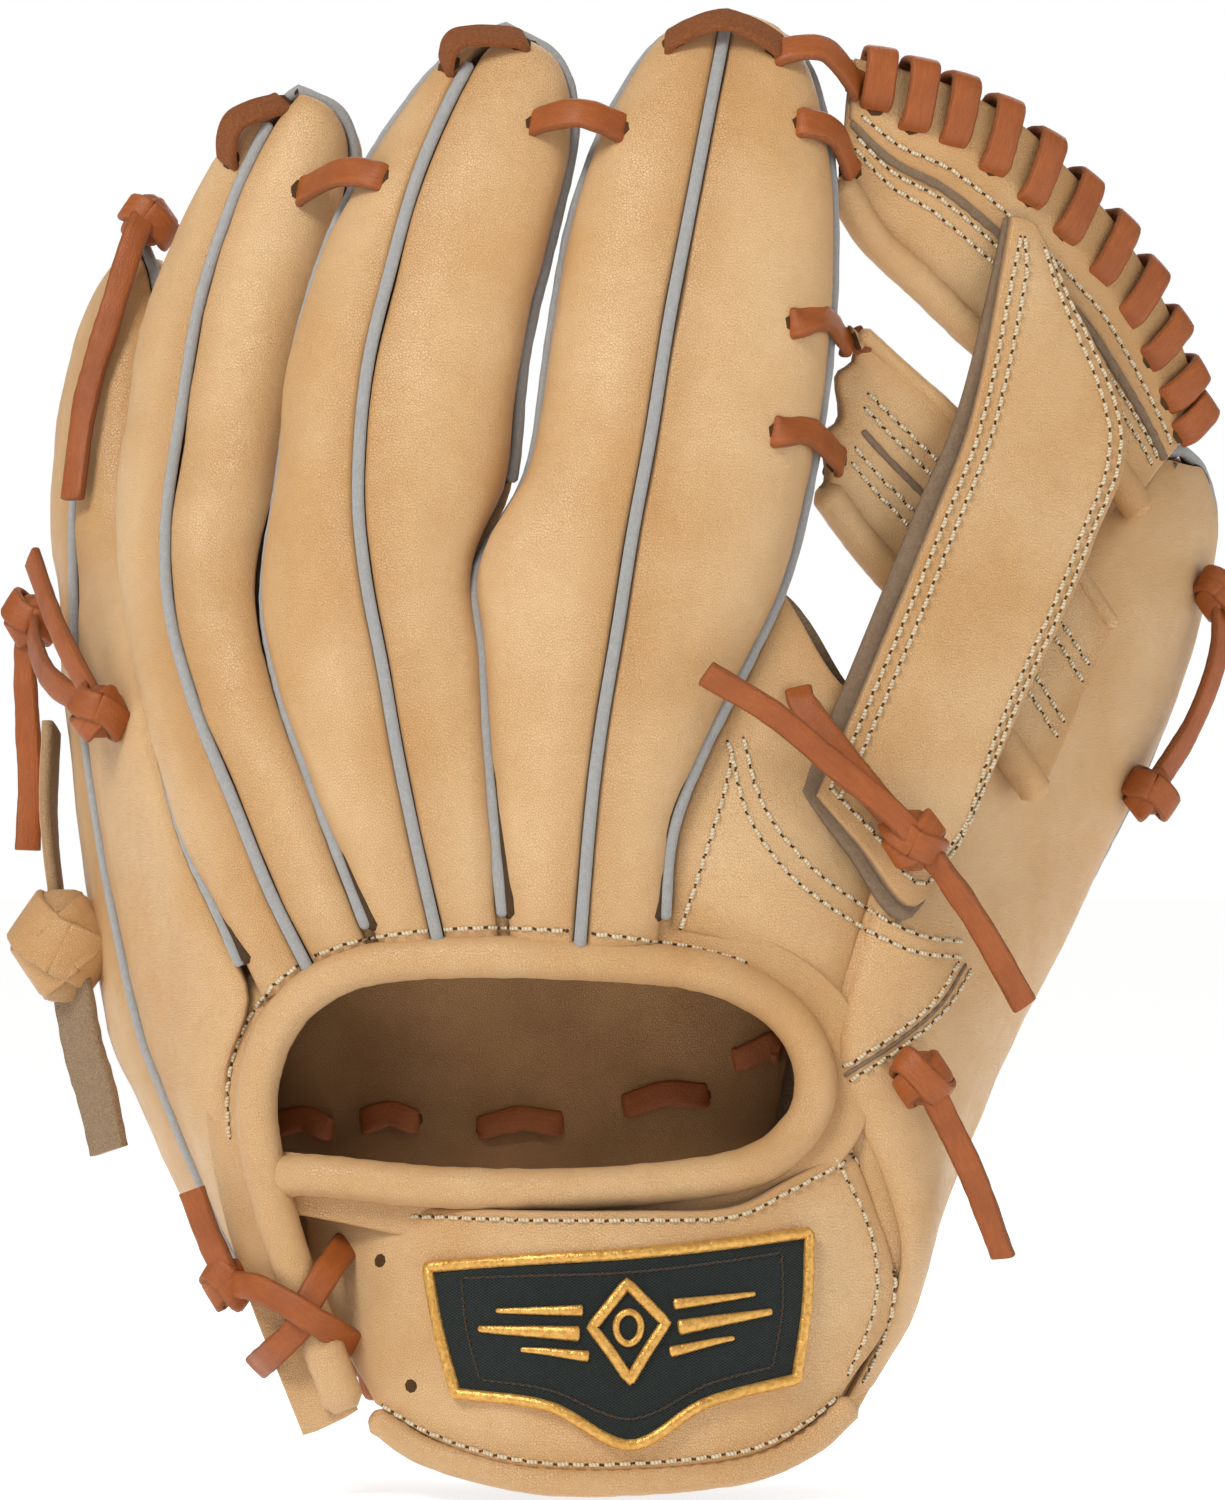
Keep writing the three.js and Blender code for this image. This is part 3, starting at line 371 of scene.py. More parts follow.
def grid_faces(rows, cols, start=0, close=False):
    r, c = np.meshgrid(np.arange(rows - 1), np.arange(cols if close else cols - 1), indexing="ij")
    a = start + r * cols + c
    b = start + r * cols + (c + 1) % cols
    return np.stack([a, b, b + cols, a + cols], -1).reshape(-1, 4)


def steps(n, lengths):
    """Stations from 0 to 1, the outer ones close together, for a strip of that many mm across."""
    lengths = np.maximum(np.asarray(lengths, float), 8)[:, None]
    near = np.array([0, 0.15, 0.4, 0.8, 1.3, 2.2])[None] / lengths
    inner = near[:, -1:] + (1 - 2 * near[:, -1:]) * np.linspace(0, 1, n)[None, 1:-1]
    return np.concatenate([near, inner, 1 - near[:, ::-1]], 1)


def round_drop(d, r):
    """How far a surface has dropped at distance d from an edge rounded to radius r."""
    return r - np.sqrt(np.maximum(r * r - np.clip(r - d, 0, r) ** 2, 0))


def skin_points(surface, u, v, nu, nv, lift=0.0, thick=SHELL, puff=0.7, dip=0.3, crease=(), seed=1, soft=0.25):
    """Top and bottom grids of a leather panel, its edges rounded over, with the distance to its edge."""
    v0, v1 = v
    middle_u = lambda b: 0.5 * (limit(u[0], b) + limit(u[1], b))
    fine = np.linspace(v0, v1, 60)
    length = whole(surface(middle_u(fine), fine))
    t = steps(nv, [length])[0]
    b = v0 + (v1 - v0) * t
    lo, hi = limit(u[0], b), limit(u[1], b)
    share = np.linspace(0, 1, 24)[None]
    track = surface(lo[:, None] + (hi - lo)[:, None] * share, np.repeat(b[:, None], 24, 1))
    width = np.linalg.norm(np.diff(track, axis=1), axis=2).sum(1)
    s = steps(nu, width)
    uu = lo[:, None] + (hi - lo)[:, None] * s
    vv = np.repeat(b[:, None], s.shape[1], 1)
    p, n = surface(uu, vv), normals(surface, uu, vv)
    du = np.minimum(s, 1 - s) * width[:, None]
    dv = np.repeat((np.minimum(t, 1 - t) * length)[:, None], s.shape[1], 1)
    edge = np.minimum(du, dv)
    r = min(EDGE_R, thick / 2)
    height = lift + puff * np.sin(np.pi * s) ** 0.7 - dip * np.exp(-edge / 1.8) - round_drop(edge, r)
    height = height + soft * wobble(p, 26, seed) + 0.4 * soft * wobble(p, 9, seed + 50)
    for x, z, radius, depth in crease:
        height = height - depth * np.exp(-(((p[..., 0] - x) ** 2 + (p[..., 2] - z) ** 2) / radius**2))
    under = np.minimum(height - 0.3, lift - thick)
    return p + n * height[..., None], p + n * under[..., None], edge


def limit(value, b):
    """A panel's u limit at each b. It is a number, or a function of b."""
    return value(b) if callable(value) else np.full_like(b, float(value))


def skin(name, surface, u, v, look, body, nodes=(), slot="shell_leather", *, nu, nv, inner_raw=1.0, **kw):
    """A closed leather panel on a surface, between two limits in u and two in v."""
    top, bottom, edge = skin_points(surface, u, v, nu, nv, **kw)
    rows, cols = edge.shape
    n = rows * cols
    faces = [grid_faces(rows, cols), grid_faces(rows, cols, n)[:, ::-1]]
    ring = np.concatenate([np.arange(cols), (np.arange(1, rows) * cols) + cols - 1,
                           (rows - 1) * cols + np.arange(cols - 2, -1, -1), np.arange(rows - 2, 0, -1) * cols])
    nxt = np.roll(ring, -1)
    wall = np.stack([nxt, ring, ring + n, nxt + n], -1)
    faces.append(wall)
    raw = np.concatenate([np.clip(1 - edge.ravel() / 0.3, 0, 1), np.full(n, inner_raw)])
    raw[n:][ring] = 1
    return build(name, np.concatenate([top.reshape(-1, 3), bottom.reshape(-1, 3)]), np.concatenate(faces), look,
                 body, slot, nodes, raw=raw, edge=np.concatenate([edge.ravel(), np.zeros(n)]))


def frames(path, facing):
    """Tangent, side and out at each point of a line. `facing` is where the out side looks."""
    tangent = unit(np.gradient(path, axis=0))
    if facing is None:
        out = np.zeros_like(path)
        clear_of_y = abs(tangent[0] @ np.array([0, 1, 0])) < 0.9
        hint = np.array([0.3, -1, 0.2]) if clear_of_y else np.array([1, 0, 0.3])
        for i, t in enumerate(tangent):
            hint = hint - t * (hint @ t)
            hint = hint / max(np.linalg.norm(hint), 1e-9)
            out[i] = hint
        side = np.cross(tangent, out)
    else:
        facing = np.broadcast_to(np.asarray(facing, float), path.shape)
        side = unit(np.cross(tangent, facing))
        out = np.cross(side, tangent)
    return tangent, side, out


def sweep_points(path, section, facing, scale, cap=0.5):
    """A section (k, 2), in side and out directions, carried along a path, with rounded ends."""
    tangent, side, out = frames(path, facing)
    scale = np.broadcast_to(np.asarray(scale, float), (len(path),))
    k = len(section)
    rings = (path[:, None] + side[:, None] * section[None, :, :1] * scale[:, None, None]
             + out[:, None] * section[None, :, 1:] * scale[:, None, None])
    size = np.abs(section).max(0).min() * cap
    less = 1 - 0.8 * cap
    ends = [path[:1, None] + (rings[:1] - path[:1, None]) * less - tangent[:1, None] * size,
            path[-1:, None] + (rings[-1:] - path[-1:, None]) * less + tangent[-1:, None] * size]
    rings = np.concatenate([ends[0], rings, ends[1]])
    verts = np.concatenate([rings.reshape(-1, 3), rings[0].mean(0)[None], rings[-1].mean(0)[None]])
    m = len(rings)
    faces = [list(f) for f in grid_faces(m, k, close=True)]
    j = np.arange(k)
    faces += [[int(m * k), int(b), int(a)] for a, b in zip(j, np.roll(j, -1))]
    faces += [[int(m * k + 1), int((m - 1) * k + a), int((m - 1) * k + b)] for a, b in zip(j, np.roll(j, -1))]
    step = run(path)
    along = np.repeat(np.concatenate([[0], step, [step[-1]]]), k)
    along = np.concatenate([along, [0, step[-1]]])
    around = np.concatenate([np.tile(j / k, m), [0, 0]])
    return verts, faces, along, around


def circle(r, k, flat=1.0):
    a = 2 * np.pi * np.arange(k) / k
    return np.stack([r * np.cos(a), r * flat * np.sin(a)], 1)


def flat_section(width, thick):
    """A lace's section: flat with soft corners, its smooth side outwards."""
    w, t = width / 2, thick / 2
    half = [(-w, 0), (-w + 0.12, t * 0.62), (-w + 0.55, t * 0.95), (-w * 0.4, t * 1.02), (0, t * 1.05),
            (w * 0.4, t * 1.02), (w - 0.55, t * 0.95), (w - 0.12, t * 0.62), (w, 0)]
    low = [(x, -z) for x, z in half[-2:0:-1]]
    return np.array(half + low, float)[::-1]


def swept(name, path, section, facing, look, body, slot, nodes=(), scale=1.0, **extra):
    """A piece with one section carried along a line. extra holds one number for the whole piece, by name."""
    verts, faces = sweep_points(path, section, facing, scale)[:2]
    extra = {key: np.full(len(verts), value) for key, value in extra.items()}
    return build(name, verts, faces, look, body, slot, nodes, **extra)


def roll(name, path, radius, body, n, lumps, nodes=(), sides=14):
    """Leather rolled round a line, slightly uneven."""
    path = curve(path, n)
    scale = 1 + lumps * wobble(path, 7, 3) + lumps * 0.6 * wobble(path, 3, 4)
    # edge 4 mm gives the whole roll a little of the leather's painted edge shade
    return swept(name, path, circle(radius, sides), None, TAN, body, "shell_leather", nodes, scale, edge=4.0,
                 raw=0.0)


def lace_mesh(path, facing, width=LACE_W, thick=LACE_T, rough_out=0.0, *, seed, step=0.8):
    """A lace along a path. rough_out 1 turns its rough side outwards."""
    path = curve(path, max(10, int(whole(np.asarray(path, float)) / step)))
    rng = np.random.default_rng(seed)
    facing = np.asarray(facing, float)
    if facing.ndim == 2:
        facing = spline(facing, np.linspace(0, 1, len(path)))
    section = flat_section(width, thick)
    wide = 1 + 0.035 * wobble(path, 9, seed) + 0.02 * wobble(path, 3.5, seed + 2)
    verts, faces, along, around = sweep_points(path, section, facing, wide, cap=0.1)
    k, m = len(section), len(path) + 2
    across = np.concatenate([np.tile(section[:, 0] / width + 0.5, m), [0.5, 0.5]])
    raw = np.concatenate([np.tile(np.where(section[:, 1] < -0.1, 1.0, 0.0), m), [0.5, 0.5]])
    edges = np.concatenate([np.tile((np.abs(section[:, 0]) > width / 2 - 0.3).astype(float), m), [1, 1]])
    raw = np.abs(raw - rough_out)
    return verts, faces, dict(along=along + 40 * rng.random(), across=across, raw=np.maximum(raw, 0.6 * edges))


def merged(parts):
    """Parts given as points, faces and numbers per point, put together into one."""
    verts, faces, extras, start = [], [], [], 0
    for v, f, e in parts:
        verts.append(v)
        faces += [[int(i) + start for i in face] for face in f]
        extras.append(e)
        start += len(v)
    return np.concatenate(verts), faces, {k: np.concatenate([e[k] for e in extras]) for k in extras[0]}


def laces(name, parts, body, nodes=()):
    verts, faces, extra = merged(parts)
    return build(name, verts, faces, LACE, body, "rawhide", nodes, **extra)


KNOT_LEAN = 0.62  # slope of a knot's turns, in radians


def knot_parts(centre, size, seed, width=6.0):
    """A tied knot: two turns of lace crossed over each other, round a tight upright core."""
    centre, size = np.array(centre, float), np.array(size, float)
    side, out, axis = np.array([1.0, 0, 0]), np.array([0, -1.0, 0]), np.array([0, 0, 1.0])
    a = np.linspace(0.5 * np.pi, 2.5 * np.pi, 46)[:, None]
    parts = []
    for k, (lean, grow) in enumerate(((KNOT_LEAN, 0.0), (-KNOT_LEAN, 0.85))):
        way = side * np.cos(lean) + axis * np.sin(lean)
        wide, deep = size.min() / 2 - 0.5 + grow, size[1] / 2 - 1.6 + grow
        ring = way * np.cos(a) * wide + out * np.sin(a) * deep
        ring = ring + axis * (0.9 * np.sin(2 * a + seed) + 0.5 * (k - 0.5))
        facing = unit(way * np.cos(a) * deep + out * np.sin(a) * wide)
        parts.append(lace_mesh(ring + centre, facing, width, seed=seed + k))
    line = centre + axis * np.array([[-0.5], [-0.3], [0.3], [0.5]]) * size.max() * 0.9
    core = np.array([0.5, 0.8, 0.8, 0.5]) * (size.min() / 2 - 1.2)
    v, f, along, around = sweep_points(line, circle(1, 12), None, core)
    return parts + [(v, f, dict(along=along, across=around, raw=np.full(len(v), 0.5)))]


# ---- looks --------------------------------------------------------------------------------
class Look:
    """One procedural material. Its patterns are measured in millimetres of the piece at rest."""

    def __init__(self, name, **constants):
        self.material = bpy.data.materials.new(name)
        self.material.use_nodes = True
        self.tree = self.material.node_tree
        self.surface = self.tree.nodes["Principled BSDF"]
        self.at = self.attribute("rest", "Vector")
        self.height = None
        for key, value in constants.items():
            self.surface.inputs[key.replace("_", " ")].default_value = value

    def node(self, kind, inputs=(), **settings):
        node = self.tree.nodes.new(kind)
        for key, value in settings.items():
            setattr(node, key, value)
        for key, value in dict(inputs).items():
            self.put(node.inputs[key], value)
        return node

    def put(self, socket, value):
        if isinstance(value, bpy.types.NodeSocket):
            self.tree.links.new(value, socket)
        elif value is not None:
            socket.default_value = value

    def attribute(self, name, output="Fac"):
        return self.node("ShaderNodeAttribute", attribute_name=name).outputs[output]

    def noise(self, scale, detail, vector=None, distortion=0.0, roughness=0.5):
        return self.node("ShaderNodeTexNoise", {"Vector": vector or self.at, "Scale": scale, "Detail": detail,
                                                "Roughness": roughness, "Distortion": distortion}).outputs[0]

    def cells(self, scale):
        return self.node("ShaderNodeTexVoronoi", {"Vector": self.at, "Scale": scale},
                         feature="DISTANCE_TO_EDGE").outputs[0]

    def math(self, operation, a, b=None):
        return self.node("ShaderNodeMath", {0: a, 1: b}, operation=operation).outputs[0]

    def span(self, value, low, high, to_low=0.0, to_high=1.0):
        return self.node("ShaderNodeMapRange", {"Value": value, "From Min": low, "From Max": high,
                                                "To Min": to_low, "To Max": to_high}).outputs[0]

    def vector(self, x, y, z):
        return self.node("ShaderNodeCombineXYZ", {0: x, 1: y, 2: z}).outputs[0]

    def mix(self, share, a, b):
        full = lambda c: (*c, 1) if isinstance(c, tuple) else c
        node = self.node("ShaderNodeMix", {0: share, 6: full(a), 7: full(b)}, data_type="RGBA")
        return node.outputs[2]

    def bump(self, height, depth_mm):
        node = self.node("ShaderNodeBump", {"Height": height, "Distance": depth_mm * MM, "Strength": 1.0,
                                            "Normal": self.height})
        self.height = node.outputs[0]

    def done(self, colour, roughness):
        self.put(self.surface.inputs["Base Color"], colour)
        self.put(self.surface.inputs["Roughness"], roughness)
        if self.height:
            self.put(self.surface.inputs["Normal"], self.height)
        return self.material


GRAIN = 1.6  # strength of the leather's fine relief


def leather(name, light, dark, raw, rough=0.42):
    m = Look(name, Specular_IOR_Level=0.5, Sheen_Weight=0.04, Sheen_Roughness=0.5)
    cloud, mottle = m.noise(0.03, 3), m.noise(0.35, 4)
    cells, pores = m.cells(1.9), m.noise(7, 2)
    folds = m.noise(0.11, 3, distortion=0.6, roughness=0.45)
    edge, cut = m.attribute("edge"), m.attribute("raw")
    colour = m.mix(m.span(cloud, 0.36, 0.66), light, dark)
    # deeper: a darker tone, used for the random mottling and for the painted shade in the grain and near the
    # edges
    deeper = tuple(c * k for c, k in zip(dark, (0.78, 0.68, 0.55)))
    colour = m.mix(m.span(mottle, 0.5, 0.9, 0, 0.16), colour, deeper)
    # painted shade: a little darker in the grain's crevices, where the cells meet and the bump sinks
    colour = m.mix(m.span(cells, 0.0, 0.07, 0.12, 0.0), colour, deeper)
    # painted shade: the leather darkens towards its edges and seams, half way at the edge and fading out by 6.5
    # mm
    colour = m.mix(m.span(edge, 0.2, 6.5, 0.5, 0.0), colour, deeper)
    fibres = m.noise(2.2, 5)
    raw_colour = m.mix(m.span(fibres, 0.3, 0.7), raw, tuple(c * 0.62 for c in raw))
    colour = m.mix(cut, colour, raw_colour)
    m.bump(m.span(cells, 0, 0.1), 0.05 * GRAIN)
    m.bump(pores, 0.03 * GRAIN)
    m.bump(folds, 0.5)
    m.bump(m.math("MULTIPLY", fibres, cut), 0.25)
    shine = m.span(m.noise(0.2, 3), 0.35, 0.7, rough - 0.07, rough + 0.12)
    return m.done(colour, m.math("MAXIMUM", shine, m.span(cut, 0, 1, 0, 0.9)))


def felt(name, light, dark, scale=1.0, sheen=0.3):
    m = Look(name, Specular_IOR_Level=0.2, Sheen_Weight=sheen, Sheen_Roughness=0.6)
    fibres = m.noise(2.6 * scale, 6, distortion=2.2, roughness=0.7)
    tufts = m.noise(0.7 * scale, 3)
    colour = m.mix(m.span(fibres, 0.34, 0.66), dark, light)
    colour = m.mix(m.span(tufts, 0.4, 0.7, 0, 0.35), colour, dark)
    m.bump(fibres, 0.35)
    return m.done(colour, m.span(tufts, 0, 1, 0.86, 0.98))


def rawhide(name, smooth, rough, deep):
    m = Look(name, Specular_IOR_Level=0.4)
    along, across, cut = m.attribute("along"), m.attribute("across"), m.attribute("raw")
    flow = m.vector(m.math("MULTIPLY", along, 0.22), m.math("MULTIPLY", across, 9.0), m.noise(0.02, 1))
    streaks, cloud = m.noise(1.6, 5, flow, 0.8), m.noise(0.12, 3)
    fluff = m.noise(2.4, 6, distortion=1.0, roughness=0.65)
    colour = m.mix(m.span(streaks, 0.35, 1.0), smooth, deep)
    colour = m.mix(m.span(cloud, 0.4, 0.75, 0, 0.55), colour, deep)
    suede = m.mix(m.span(fluff, 0.32, 0.68), rough, deep)
    colour = m.mix(cut, colour, suede)
    m.bump(streaks, 0.07)
    m.bump(m.math("MULTIPLY", fluff, m.math("ADD", cut, 0.18)), 0.5)
    m.bump(m.cells(1.7), 0.09)
    return m.done(colour, m.math("MAXIMUM", m.span(cloud, 0.3, 0.7, 0.35, 0.5), m.span(cut, 0, 1, 0, 0.92)))


def thread(name, light, dark):
    m = Look(name, Sheen_Weight=0.25, Sheen_Roughness=0.4, Specular_IOR_Level=0.4)
    along = m.math("MULTIPLY", m.attribute("along"), 9.0)
    around = m.math("MULTIPLY", m.attribute("around"), 6.283)
    twist = m.math("SINE", m.math("ADD", along, around))
    # painted shade: the thread is darker in the grooves of its twist, where the bump sinks
    colour = m.mix(m.span(twist, -1, 0.4), dark, light)
    colour = m.mix(m.span(m.noise(0.2, 2), 0.45, 0.8, 0, 0.5), colour, dark)
    m.bump(twist, 0.12)
    return m.done(colour, m.span(twist, -1, 1, 0.75, 0.55))


def woven(name, light, dark):
    m = Look(name, Sheen_Weight=0.2, Sheen_Roughness=0.4, Specular_IOR_Level=0.35)
    x, y, z = (m.node("ShaderNodeSeparateXYZ", {0: m.at}).outputs[k] for k in range(3))
    wave = lambda a, k, shift: m.math("SINE", m.math("ADD", m.math("MULTIPLY", a, k), shift))
    warp, weft = wave(x, 7.0, 0.0), wave(z, 11.0, 0.6)
    over = m.math("MULTIPLY", warp, weft)
    # painted shade: darker where the weave dips, lighter where the threads cross over
    colour = m.mix(m.span(over, -0.6, 0.8), dark, light)
    colour = m.mix(m.span(m.noise(0.5, 4), 0.4, 0.75, 0, 0.4), colour, dark)
    m.bump(over, 0.16)
    m.bump(m.noise(5.0, 3), 0.05)
    return m.done(colour, m.span(over, -1, 1, 0.9, 0.7))


def moulded_gold(name, light, dark):
    m = Look(name, Metallic=0.6, Specular_IOR_Level=0.5)
    dents = m.noise(0.9, 3)
    colour = m.mix(m.span(dents, 0.3, 0.7), light, dark)
    m.bump(dents, 0.3)
    m.bump(m.noise(3.5, 3), 0.06)
    return m.done(colour, m.span(m.noise(2, 2), 0.3, 0.7, 0.26, 0.42))


RAW = (0.40, 0.265, 0.15)
TAN = leather("shell leather", (0.76, 0.495, 0.25), (0.66, 0.375, 0.15), RAW)
LINING = leather("lining leather", (0.42, 0.215, 0.075), (0.27, 0.125, 0.04), (0.2, 0.12, 0.07), 0.6)
# DARK: dark brown for the finger linings and for strips laid under the seams; under the seams it is painted
# shade seen through the gaps
DARK = felt("inside leather and painted seam shade", (0.14, 0.08, 0.04), (0.06, 0.035, 0.02), 1.0, 0.0)
WELT = felt("welt felt", (0.58, 0.575, 0.56), (0.34, 0.335, 0.325))
PAD = felt("pad felt", (0.5, 0.46, 0.38), (0.34, 0.31, 0.26), 0.6)
FLEECE = felt("fleece", (0.028, 0.03, 0.045), (0.006, 0.007, 0.012), 0.5)
LACE = rawhide("rawhide", (0.4, 0.105, 0.018), (0.37, 0.14, 0.045), (0.24, 0.055, 0.01))
THREAD = thread("thread", (0.88, 0.76, 0.54), (0.62, 0.47, 0.27))
# HOLE: painted shade of needle and lace holes, a dark colour for the hole's depth
HOLE = felt("needle holes", (0.15, 0.075, 0.03), (0.07, 0.035, 0.015), 1.0, 0.0)
PATCH = woven("patch cloth", (0.022, 0.034, 0.03), (0.004, 0.007, 0.006))
GOLD = moulded_gold("patch gold", (0.86, 0.50, 0.13), (0.58, 0.29, 0.06))
RAW_EDGE = felt("raw leather edge", (0.42, 0.30, 0.20), (0.20, 0.125, 0.07), 1.2, 0.05)
PATCH_THREAD = thread("patch thread", (0.05, 0.05, 0.05), (0.015, 0.015, 0.015))

# ---- thread and holes ---------------------------------------------------------------------
THREADS, HOLES = {}, {}  # parts by the body that they ride on
STITCH_TOP = 0.34
STITCH = np.array([(-0.5, -0.4), (-0.38, 0.16), (-0.14, STITCH_TOP), (0.14, STITCH_TOP), (0.38, 0.16),
                   (0.5, -0.4)])
# radii of the dark discs, painted shade, for needle holes, lace holes and eyelets
NEEDLE_HOLE, LACE_HOLE, EYELET = 0.36, 2.5, 1.8


def sew(line, up, key, pitch=2.9, length=2.3, radius=0.42, rise=0.34):
    """Stitches along a line that lies on leather. `up` is the leather's outward direction."""
    s = run(line)
    count = int(s[-1] / pitch)
    at = (np.arange(count) + 0.5) * s[-1] / count
    centre = sample(at, s, line)
    n = unit(sample(at, s, up))
    t = unit(sample(at + 0.4, s, line) - sample(at - 0.4, s, line))
    side = np.cross(t, n)
    rng = np.random.default_rng(len(THREADS.get(key, [])) + count)
    t = unit(t + side * rng.normal(0, 0.07, (count, 1)))
    long = length * rng.uniform(0.93, 1.05, (count, 1, 1))
    spine = (centre[:, None] + t[:, None] * STITCH[None, :, :1] * long
             + n[:, None] * (STITCH[None, :, 1:] * rise / STITCH_TOP - 0.02))
    k = len(STITCH)  # rings in a stitch, and corners in a ring
    a = 2 * np.pi * np.arange(k) / k
    ring = (side[:, None, None] * np.cos(a)[None, None, :, None]
            + n[:, None, None] * np.sin(a)[None, None, :, None])
    verts = (spine[:, :, None] + ring * radius).reshape(-1, 3)
    faces = np.concatenate([grid_faces(k, k, k * k * i, close=True) for i in range(count)])
    along = np.tile(np.repeat(STITCH[:, 0] * length, k), count)
    around = np.tile(np.arange(k) / k, k * count)
    THREADS.setdefault(key, []).append((verts, faces, dict(along=along, around=around)))
    for end in (-0.5, 0.5):
        punch(centre + t * end * length * 1.08, n, key, NEEDLE_HOLE)


def punch(points, n, key, radius):
    """Dark round discs lying on the leather for holes; their dark colour is painted shade down the hole."""
    points, n = np.atleast_2d(points), np.atleast_2d(n)
    side = unit(np.cross(n, [0.31, 0.2, 0.93]))
    other = np.cross(n, side)
    a = 2 * np.pi * np.arange(8) / 8
    rim = side[:, None] * np.cos(a)[None, :, None] + other[:, None] * np.sin(a)[None, :, None]
    outer = points[:, None] + rim * radius - n[:, None] * 0.25
    inner = points[:, None] + rim * radius * 0.72 + n[:, None] * 0.07
    verts = np.concatenate([outer, inner], 1).reshape(-1, 3)
    faces = []
    for i in range(len(points)):
        faces += grid_faces(2, 8, 16 * i, close=True).tolist() + [[16 * i + 8 + k for k in range(8)]]
    HOLES.setdefault(key, []).append((verts, faces, {}))


def tree_of(piece):
    mesh = piece.data
    return BVHTree.FromPolygons([v.co for v in mesh.vertices], [tuple(p.vertices) for p in mesh.polygons])


def rest_on(points, n, piece, lift=0.0):
    """Points moved along their outward directions until they lie on a piece."""
    tree, placed = tree_of(piece), []
    for p, d in zip(points, n):
        place = tree.ray_cast(Vector((p + d * 6) * MM), Vector(-d))[0]
        placed.append(p if place is None else np.array(place) / MM)
    return np.array(placed) + n * lift


def sew_on(surface, u, v, key, piece, **kw):
    """Stitches along a line of a surface, given by its u and v as arrays, lying on a piece."""
    u, v = pair(u, v)
    n = normals(surface, u, v)
    sew(rest_on(surface(u, v), n, piece), n, key, **kw)


def sight(x, z, y):
    """The point at that depth on the line of sight through x and z."""
    grow = 1 - y / EYE[1]
    return np.array([EYE[0] + (x - EYE[0]) * grow, y, EYE[2] + (z - EYE[2]) * grow])


def flat_line(points, n):
    """n points on a smooth line through points of the picture plane."""
    return curve([[x, z, 0] for x, z in points], n)[:, :2]


def cast(points, pieces, n):
    """A line seen from the camera, given in mm across and up, laid on the pieces behind it."""
    trees = [tree_of(o) for o in pieces]
    line, up = [], []
    for x, z in flat_line(points, n):
        ray = Vector(unit(np.array([x, 0, z]) - EYE))
        hits = [t.ray_cast(Vector(EYE * MM), ray) for t in trees]
        hits = [h for h in hits if h[0] is not None]
        if hits:
            place, normal = min(hits, key=lambda h: h[3])[:2]
            normal = normal if normal.dot(ray) < 0 else -normal
            line.append(np.array(place) / MM)
            up.append(np.array(normal))
    line, up = np.array(line), np.array(up)
    if n > 5:
        ends = lambda a: np.concatenate([a[:1]] * 2 + [a] + [a[-1:]] * 2)
        up = unit(np.stack([np.convolve(ends(up)[:, k], np.ones(5) / 5, "valid") for k in range(3)], 1))
    return line, up


def beside(points, distance):
    """The same line in the picture plane, moved sideways."""
    line = flat_line(points, 60)
    t = unit(np.gradient(line, axis=0))
    return line + np.stack([-t[:, 1], t[:, 0]], 1) * distance


def sew_seen(points, pieces, key, offset=0.0):
    """Stitches along a line as the camera sees it."""
    sew(*cast(beside(points, offset), pieces, 80), key)


THONG_DEPTH = 3.2  # how deep a lace's ends go into the leather


def thong(seen, pieces, rise, keys, rough_out, seed, width):
    """A short lace as the camera sees it: out of one hole, over in an arc and into the other."""
    line, up = cast([seen[0], seen[-1]], pieces, 5)
    a, b, n, m = line[0], line[-1], up[0], up[-1]
    top = sight(*seen[1], (a[1] + b[1]) / 2 - rise)
    path = np.array([a - n * THONG_DEPTH, a + n * 0.9, top, b + m * 0.9, b - m * THONG_DEPTH])
    centre = (a + b) / 2 - unit(n + m) * 2.5
    for end, up, key in ((a, n, keys[0]), (b, m, keys[1])):
        punch(end, up, key, width / 2 - 0.5)
    return a, b, lace_mesh(path, unit(path - centre), width, LACE_T, rough_out, seed=seed, step=0.5)


VOXEL, PRESSURE, SWELL_FRAMES, MOST_SWELL = 3.5, 3.0, 14, 1.2


def inflate(piece):
    """Swells a padded piece with a short cloth simulation, and lets no point move more than a little."""
    bpy.context.view_layer.objects.active = piece
    remesh = piece.modifiers.new("voxels", "REMESH")
    remesh.mode, remesh.voxel_size = "VOXEL", VOXEL * MM
    bpy.ops.object.modifier_apply(modifier=remesh.name)
    count = len(piece.data.vertices)
    before = np.empty(count * 3, np.float32)
    piece.data.vertices.foreach_get("co", before)
    cloth = piece.modifiers.new("swell", "CLOTH")
    cloth.settings.use_pressure = True
    cloth.settings.uniform_pressure_force = PRESSURE
    cloth.settings.effector_weights.gravity = 0
    for frame_number in range(1, SWELL_FRAMES + 1):
        bpy.context.scene.frame_set(frame_number)
    bpy.ops.object.modifier_apply(modifier=cloth.name)
    bpy.context.scene.frame_set(1)
    after = np.empty(count * 3, np.float32)
    piece.data.vertices.foreach_get("co", after)
    move = (after - before).reshape(-1, 3)
    size = np.linalg.norm(move, axis=1, keepdims=True)
    move = move * np.minimum(1, MOST_SWELL * MM / np.maximum(size, 1e-9))
    piece.data.vertices.foreach_set("co", (before.reshape(-1, 3) + move).ravel())
    finer = piece.modifiers.new("finer", "SUBSURF")
    finer.levels = 1
    bpy.ops.object.modifier_apply(modifier=finer.name)
    count = len(piece.data.vertices)
    after = np.empty(count * 3, np.float32)
    piece.data.vertices.foreach_get("co", after)
    for old in [a for a in piece.data.attributes if a.name == "rest"]:
        piece.data.attributes.remove(old)
    piece.data.attributes.new("rest", "FLOAT_VECTOR", "POINT").data.foreach_set("vector", after / MM)
    piece.data.polygons.foreach_set("use_smooth", [True] * len(piece.data.polygons))


# ---- fingers ------------------------------------------------------------------------------
def lengthened(surface):
    """The same surface, carried straight on below v 0."""
    def longer(u, v):
        v = np.asarray(v, float)
        low = np.minimum(v, 0)[..., None] * np.ones(3)
        return surface(u, np.maximum(v, 0)) + (surface(u, 0 * v + 0.012) - surface(u, 0 * v)) / 0.012 * low

    return longer


